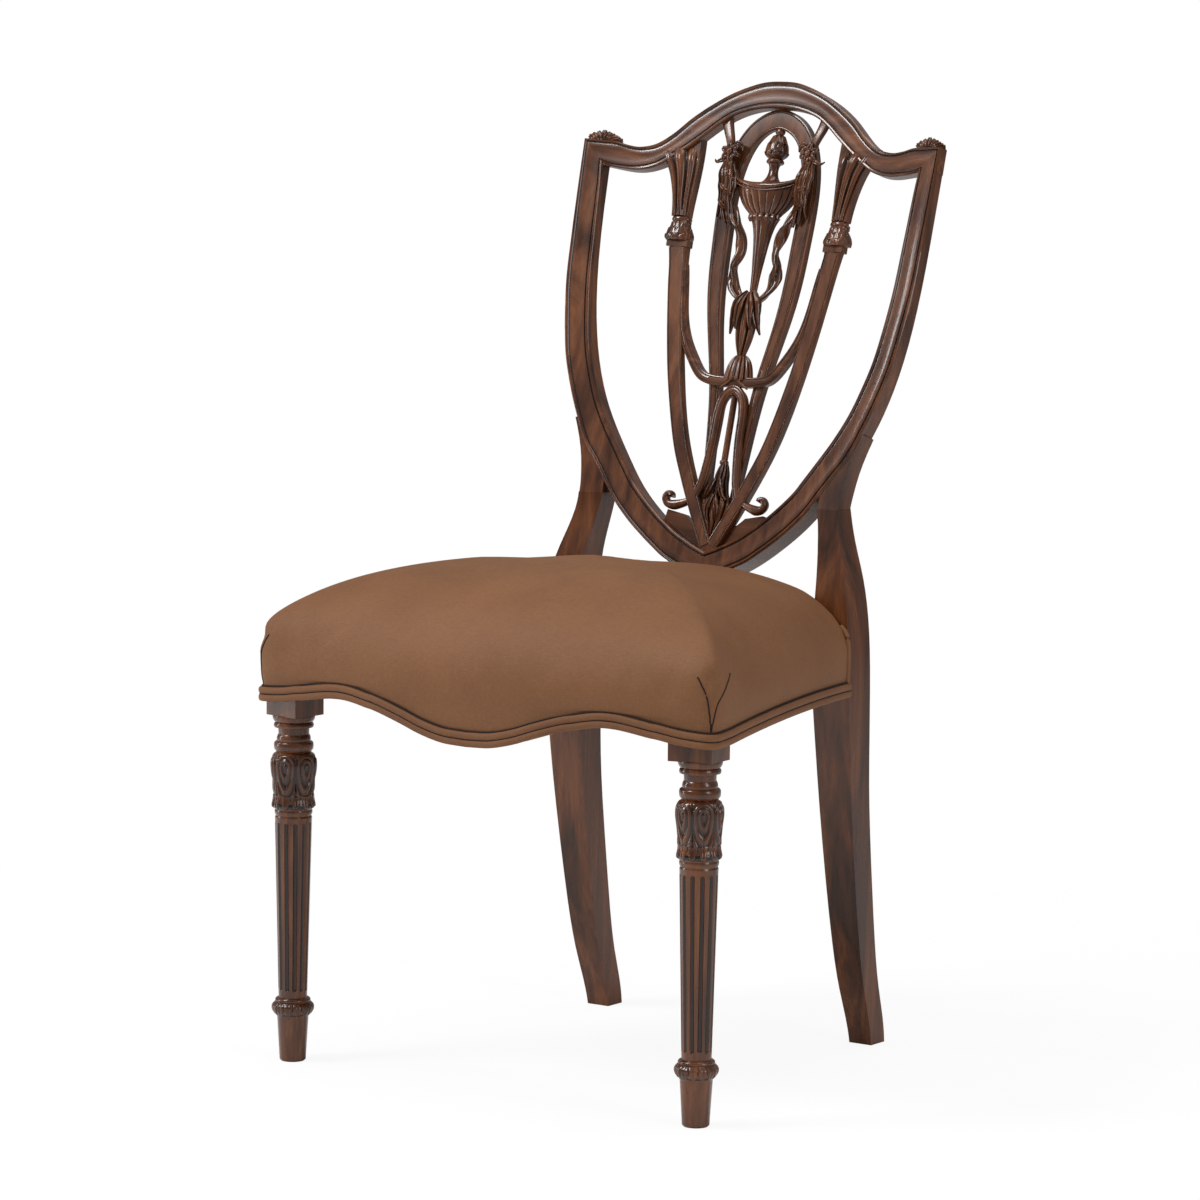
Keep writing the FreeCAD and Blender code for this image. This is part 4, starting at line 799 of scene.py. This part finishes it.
def seat_outline(inset):
    """Right half of the seat in plan, from the front's middle to the back's, drawn in by inset.

    It leaves a square room for the rear post where it reaches so far.
    """
    half, front, back = 276.0 - inset, front_y + inset, back_y - inset
    bow, corner_cut, post_x, post_y = 18.7, 14.0, 143.8, 346.2
    radius = (half ** 2 + bow ** 2) / (2 * bow)
    start = half - corner_cut
    rise = math.sqrt(radius ** 2 - start ** 2)
    line = []
    for step in range(45):
        x = start * step / 44
        line.append(Vector((x, front - bow + radius - math.sqrt(radius ** 2 - x * x), 0)))
    rear = Vector((184.0 - inset, back, 0))
    side = (rear - Vector((half, front, 0))).normalized()
    tangent = Vector((rise, start, 0)).normalized()
    gap = Vector((half, front, 0)) - line[-1]
    reach = (gap.x * side.y - gap.y * side.x) / (tangent.x * side.y - tangent.y * side.x)
    bend = line[-1] + tangent * reach
    end = bend + side * reach
    first = line[-1].copy()
    for step in range(1, 9):
        t = step / 8
        line.append(first * (1 - t) ** 2 + bend * 2 * t * (1 - t) + end * t * t)
    for step in range(1, 45):
        line.append(end.lerp(rear, step / 44))
    for step in range(1, 23):
        line.append(rear.lerp(Vector((0, back, 0)), step / 22))
    if rear.x > post_x:
        for number in range(60, len(line)):
            point = line[number]
            if number <= 96 and point.y > post_y:
                share = (point.y - post_y) / (rear.y - post_y)
                outside = rear.x + side.x * (post_y - rear.y) / side.y
                line[number] = Vector((outside + share * (post_x - outside), post_y, 0))
            elif number > 96 and point.x > post_x:
                share = (rear.x - point.x) / (rear.x - post_x)
                line[number] = Vector((post_x, post_y + share * (back - post_y), 0))
    return line


form_steps = [(375.0, 2.5), (393.0, 1.0), (401.5, 0.55), (410.0, 0.2)]
for step in range(19):
    turn = math.radians(5 * step)
    form_steps.append((418.0 + 86.0 * math.sin(turn) ** 0.95, 160.0 * (1 - math.cos(turn) ** 1.11)))


def drawn_in(height):
    """How far the seat's side is drawn in at one height."""
    below = form_steps[0]
    for above in form_steps:
        if above[0] >= height:
            share = 0 if above[0] == below[0] else (height - below[0]) / (above[0] - below[0])
            return below[1] + share * (above[1] - below[1])
        below = above
    return form_steps[-1][1]


# the tucks' place along the outline; then each ring of the seat: its kind, its height and how
# far it is drawn in
tuck_place = 48
seat_rings = [("flat", 429.0, 120.0), ("flat", 429.0, 4.3), ("edge", 1.0, 4.3), ("edge", 0.6, 2.6),
              ("edge", 5.0, 2.5), ("edge", 10.0, 2.5), ("edge", 15.0, 2.4), ("mix", 0.25, 2.2), ("mix", 0.5, 1.8),
              ("mix", 0.75, 1.2)]
seat_rings += [("flat", height, draw) for height, draw in form_steps[1:]]
ring_points = []
for kind, value, draw in seat_rings:
    outline = seat_outline(draw)
    ring = []
    for point in outline:
        edge = lower_edge(point.x, point.y)
        height = {"flat": value, "edge": edge + value, "mix": (edge + 15) + (393.0 - edge - 15) * value}[kind]
        ring.append(Vector((point.x, point.y + seat_shift, height)))
    ring_points.append(ring + [Vector((-p.x, p.y, p.z)) for p in reversed(ring[1:-1])])
around = len(ring_points[0])
bpy.ops.mesh.primitive_grid_add(x_subdivisions=around, y_subdivisions=len(seat_rings) + 1, size=1.0)
seat = bpy.context.object
seat.name = seat.data.name = "upholstered_seat"
for vertex in seat.data.vertices:
    column = round((vertex.co.x + 0.5) * around) % around
    row = round((vertex.co.y + 0.5) * (len(seat_rings) + 1)) - 1
    if row < 0:
        vertex.co = Vector((0, 165 + seat_shift, 429)) * 0.001
    elif row >= len(seat_rings):
        vertex.co = Vector((0, 180 + seat_shift, 504.3)) * 0.001
    else:
        vertex.co = ring_points[row][column] * 0.001
bpy.ops.object.mode_set(mode="EDIT")
bpy.ops.mesh.select_all(action="SELECT")
bpy.ops.mesh.remove_doubles(threshold=0.000002)
bpy.ops.mesh.normals_make_consistent(inside=False)
bpy.ops.object.mode_set(mode="OBJECT")
firm = seat.vertex_groups.new(name="tacked")
for vertex in seat.data.vertices:
    place = vertex.co * 1000
    if place.z < 392 or (abs(place.x) < 215 and place.z < 429.5 and place.y < 145 and place.y > -230 and
                         abs(place.z - 429) < 0.3):
        firm.add([vertex.index], 1.0, "REPLACE")
most_moved = 0.006
before = [vertex.co.copy() for vertex in seat.data.vertices]
bpy.ops.object.modifier_add(type="CLOTH")
stretch = seat.modifiers[-1]
stretch.settings.quality = 4
stretch.settings.use_pressure = True
stretch.settings.uniform_pressure_force = 3.0
stretch.settings.vertex_group_mass = "tacked"
stretch.settings.effector_weights.gravity = 0
stretch.settings.tension_stiffness = 40
stretch.settings.compression_stiffness = 40
stretch.collision_settings.use_collision = False
for number in range(1, 13):
    scene.frame_set(number)
bpy.ops.object.modifier_apply(modifier=stretch.name)
for vertex, start in zip(seat.data.vertices, before):
    moved = vertex.co - start
    if moved.length > most_moved:
        vertex.co = start + moved * (most_moved / moved.length)
scene.frame_set(1)
bpy.ops.object.modifier_add(type="SUBSURF")
seat.modifiers[-1].levels = seat.modifiers[-1].render_levels = 1
bpy.ops.object.modifier_apply(modifier=seat.modifiers[-1].name)


def seat_point(place, height, proud=0.0):
    """A point on the seat's side: place counts along the outline, height is in millimetres."""
    outline = seat_outline(drawn_in(height) - proud)
    low = int(place)
    point = outline[low].lerp(outline[low + 1], place - low)
    return Vector((point.x, point.y + seat_shift, height))


corner = seat_point(tuck_place, 420)
for vertex in seat.data.vertices:
    place = vertex.co * 1000
    for side in (1, -1):
        away = Vector((place.x - side * corner.x, place.y - corner.y, 0))
        spread = away.length
        fuller = 4.2 * math.exp(-(spread / 52) ** 2) * math.exp(-((place.z - 443) / 28) ** 2)
        vertex.co += Vector((side * 0.7, -0.55, 0.45)) * fuller * 0.001
        if spread < 60 and place.z > 380:
            dent = 4.6 * math.exp(-(spread / 10) ** 2) * math.exp(-((place.z - 430) / 10) ** 2)
            swell = 1.2 * math.exp(-((spread - 24) / 12) ** 2) * math.exp(-((place.z - 412) / 26) ** 2)
            inward = Vector((-side * 0.75, 0.66, -0.1))
            vertex.co += inward * (dent - swell) * 0.001
bpy.ops.object.shade_smooth_by_angle(angle=math.radians(50))
seat.data.materials.append(seat_cloth)
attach(seat, "root")
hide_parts("seat_cover", "seat_pad")
seat.select_set(False)

# ---------------------------------------------------------------- tucks and welts
# Two tucks meet at each front corner, with a thin dark cord of painted shadow along each crease. A pair
# of piping cords in the seat's cloth runs along the lower edge with dark cords of painted shadow in the creases
# between and above them, and one cord goes up at each post.
painted_shadow_cloth = woven("seam_shadow", (0.020, 0.009, 0.006), (0.008, 0.004, 0.003), 700, 0.8)


def piping(name, points, width, height, material, back=None):
    """A cord along points, width out from the seat and height up it; back is where out is if it climbs."""
    rows = len(points) - 1

    def place(turn, run):
        row = min(rows, round(run * rows))
        along = (points[min(rows, row + 1)] - points[max(0, row - 1)]).normalized()
        out = along.cross(Vector((0, 0, 1)))
        out = out.normalized() if out.length > 0.3 else back
        up = out.cross(along).normalized()
        angle = 2 * math.pi * turn
        return (points[row] + out * math.cos(angle) * width / 2 + up * math.sin(angle) * height / 2) * 0.001, 0.0
    return rolled(name, 12, rows, place, material, 80)


def edge_run(inset, lift):
    """The welt's path from one rear post round the front to the other."""
    line = [p for p in seat_outline(inset) if p.y < 345.5]
    line = [Vector((p.x, p.y + seat_shift, lower_edge(p.x, p.y) + lift)) for p in line]
    last = line[-1]
    side = (line[-1] - line[-2]).normalized()
    line.append(last + side * ((345.5 + seat_shift - last.y) / side.y))
    whole = [Vector((-p.x, p.y, p.z)) for p in reversed(line[1:])] + line
    return smooth_line(whole, 360)


lower_welt = piping("lower_piping", edge_run(0.2, 3.6), 5.0, 7.3, welt_cloth)
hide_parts("lower_welt_cord")
upper_welt = piping("upper_piping", edge_run(0.2, 10.9), 5.0, 7.3, welt_cloth)
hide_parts("upper_welt_cord")
# thin dark cords of painted shadow: one in the crease between the two welts, one in the crease above the upper welt
piping("welt_gap_painted_shadow", edge_run(0.3, 7.25), 3.6, 1.5, painted_shadow_cloth)
piping("upper_welt_painted_shadow", edge_run(1.4, 15.1), 2.6, 2.2, painted_shadow_cloth)
# a thin dark cord of painted shadow along each tuck's crease
tuck_shadow_lines = []
for side in (1, -1):
    for spread in (-5.2, 7.6):
        points = []
        for step in range(21):
            share = step / 20
            point = seat_point(tuck_place + spread * share, 380.5 + 54 * share, 6.0)
            near = seat.closest_point_on_mesh(Vector((side * point.x, point.y, point.z)) * 0.001)
            points.append(near[1] * 1000 - near[2] * 0.25)
        tuck_shadow_lines.append(points)
for number, points in enumerate(tuck_shadow_lines):
    piping("corner_tuck_%d" % number, points, 2.3, 1.5, painted_shadow_cloth,
           back=Vector((math.copysign(0.7, points[0].x), -0.7, 0)))
for side in (1, -1):
    points = []
    for step in range(25):
        height = 381.5 + (441 - 381.5) * step / 24
        outline = seat_outline(drawn_in(height) - 0.4 + 3.0 * (step / 24) ** 4)
        low = next(n for n in range(60, len(outline)) if outline[n].y > 342.9)
        near, far = outline[low - 1], outline[low]
        point = near.lerp(far, (342.9 - near.y) / (far.y - near.y))
        points.append(Vector((side * point.x, 342.9 + seat_shift, height)))
    piping("post_piping_%s" % ("right" if side > 0 else "left"), points, 5.2, 6.6, welt_cloth,
                                back=Vector((side * 1.0, 0.0, 0)))
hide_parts("rear_welts")

# ---------------------------------------------------------------- frame under the seat
# Beech rails, corner blocks and dowels, steel screws, jute webbing and hessian, all
# hidden by the cover and by a black dust cloth tacked under the rails.


def beech(name, grain):
    wood, tree, surface = material(name)
    stretch = node(tree, "Mapping", node(tree, "TexCoord").outputs["Object"], Scale=grain)
    figure = node(tree, "TexNoise", stretch.outputs[0], Detail=5.0).outputs["Fac"]
    feed(surface, {"Base Color": ramp(tree, figure, (0.0, (0.33, 0.20, 0.11)), (1.0, (0.55, 0.38, 0.22))),
                   "Roughness": 0.65})
    return wood


finish_nodes(beech("beech_along_x", (2, 24, 24)), "front_seat_rail", "rear_seat_rail", "front_corner_block_right",
             "front_corner_block_left", "rear_corner_block_right", "rear_corner_block_left", "rail_dowels")
finish_nodes(beech("beech_along_y", (24, 2, 24)), "side_seat_rail_right", "side_seat_rail_left")
steel, tree, surface = material("zinc_plated_steel")
brushing = node(tree, "TexNoise", Scale=900.0)
brushed = node(tree, "MapRange", brushing.outputs["Fac"], To_Min=0.25, To_Max=0.45)
feed(surface, {"Base Color": (0.55, 0.55, 0.56, 1), "Metallic": 1.0, "Roughness": brushed.outputs["Result"]})
finish_nodes(steel, "corner_block_screws")
jute = woven("jute_tape", (0.50, 0.40, 0.26), (0.38, 0.29, 0.18), 350, 0.85, bump=0.6)
finish_nodes(jute, "webbing_lengthwise", "webbing_crosswise")
finish_nodes(woven("hessian", (0.42, 0.31, 0.18), (0.32, 0.23, 0.13), 420, 0.9, bump=0.7), "hessian_sheet")
black_cloth = woven("black_dust_cloth", (0.030, 0.030, 0.031), (0.020, 0.020, 0.021), 800, 0.9)
bpy.ops.mesh.primitive_grid_add(x_subdivisions=40, y_subdivisions=36, size=2.0)
dust = bpy.context.object
dust.name = dust.data.name = "dust_cloth"
for vertex in dust.data.vertices:
    u, v = vertex.co.x, vertex.co.y
    y = 178.5 + 170.5 * v
    half = min(276.0 - 30.5 - (y + 23) * 92 / 407, 221.0 if y < 26 else 999.0)
    sag = 4.0 * (1 - u * u) * (1 - v * v)
    vertex.co = Vector((u * half, y + seat_shift, 379.5 - sag)) * 0.001
bpy.ops.object.modifier_add(type="SOLIDIFY")
dust.modifiers[-1].thickness = 0.0008
dust.modifiers[-1].offset = 0
bpy.ops.object.modifier_apply(modifier=dust.modifiers[-1].name)
bpy.ops.object.shade_smooth_by_angle(angle=math.radians(40))
dust.data.materials.append(black_cloth)
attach(dust, "root")
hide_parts("dust_cover")
dust.select_set(False)
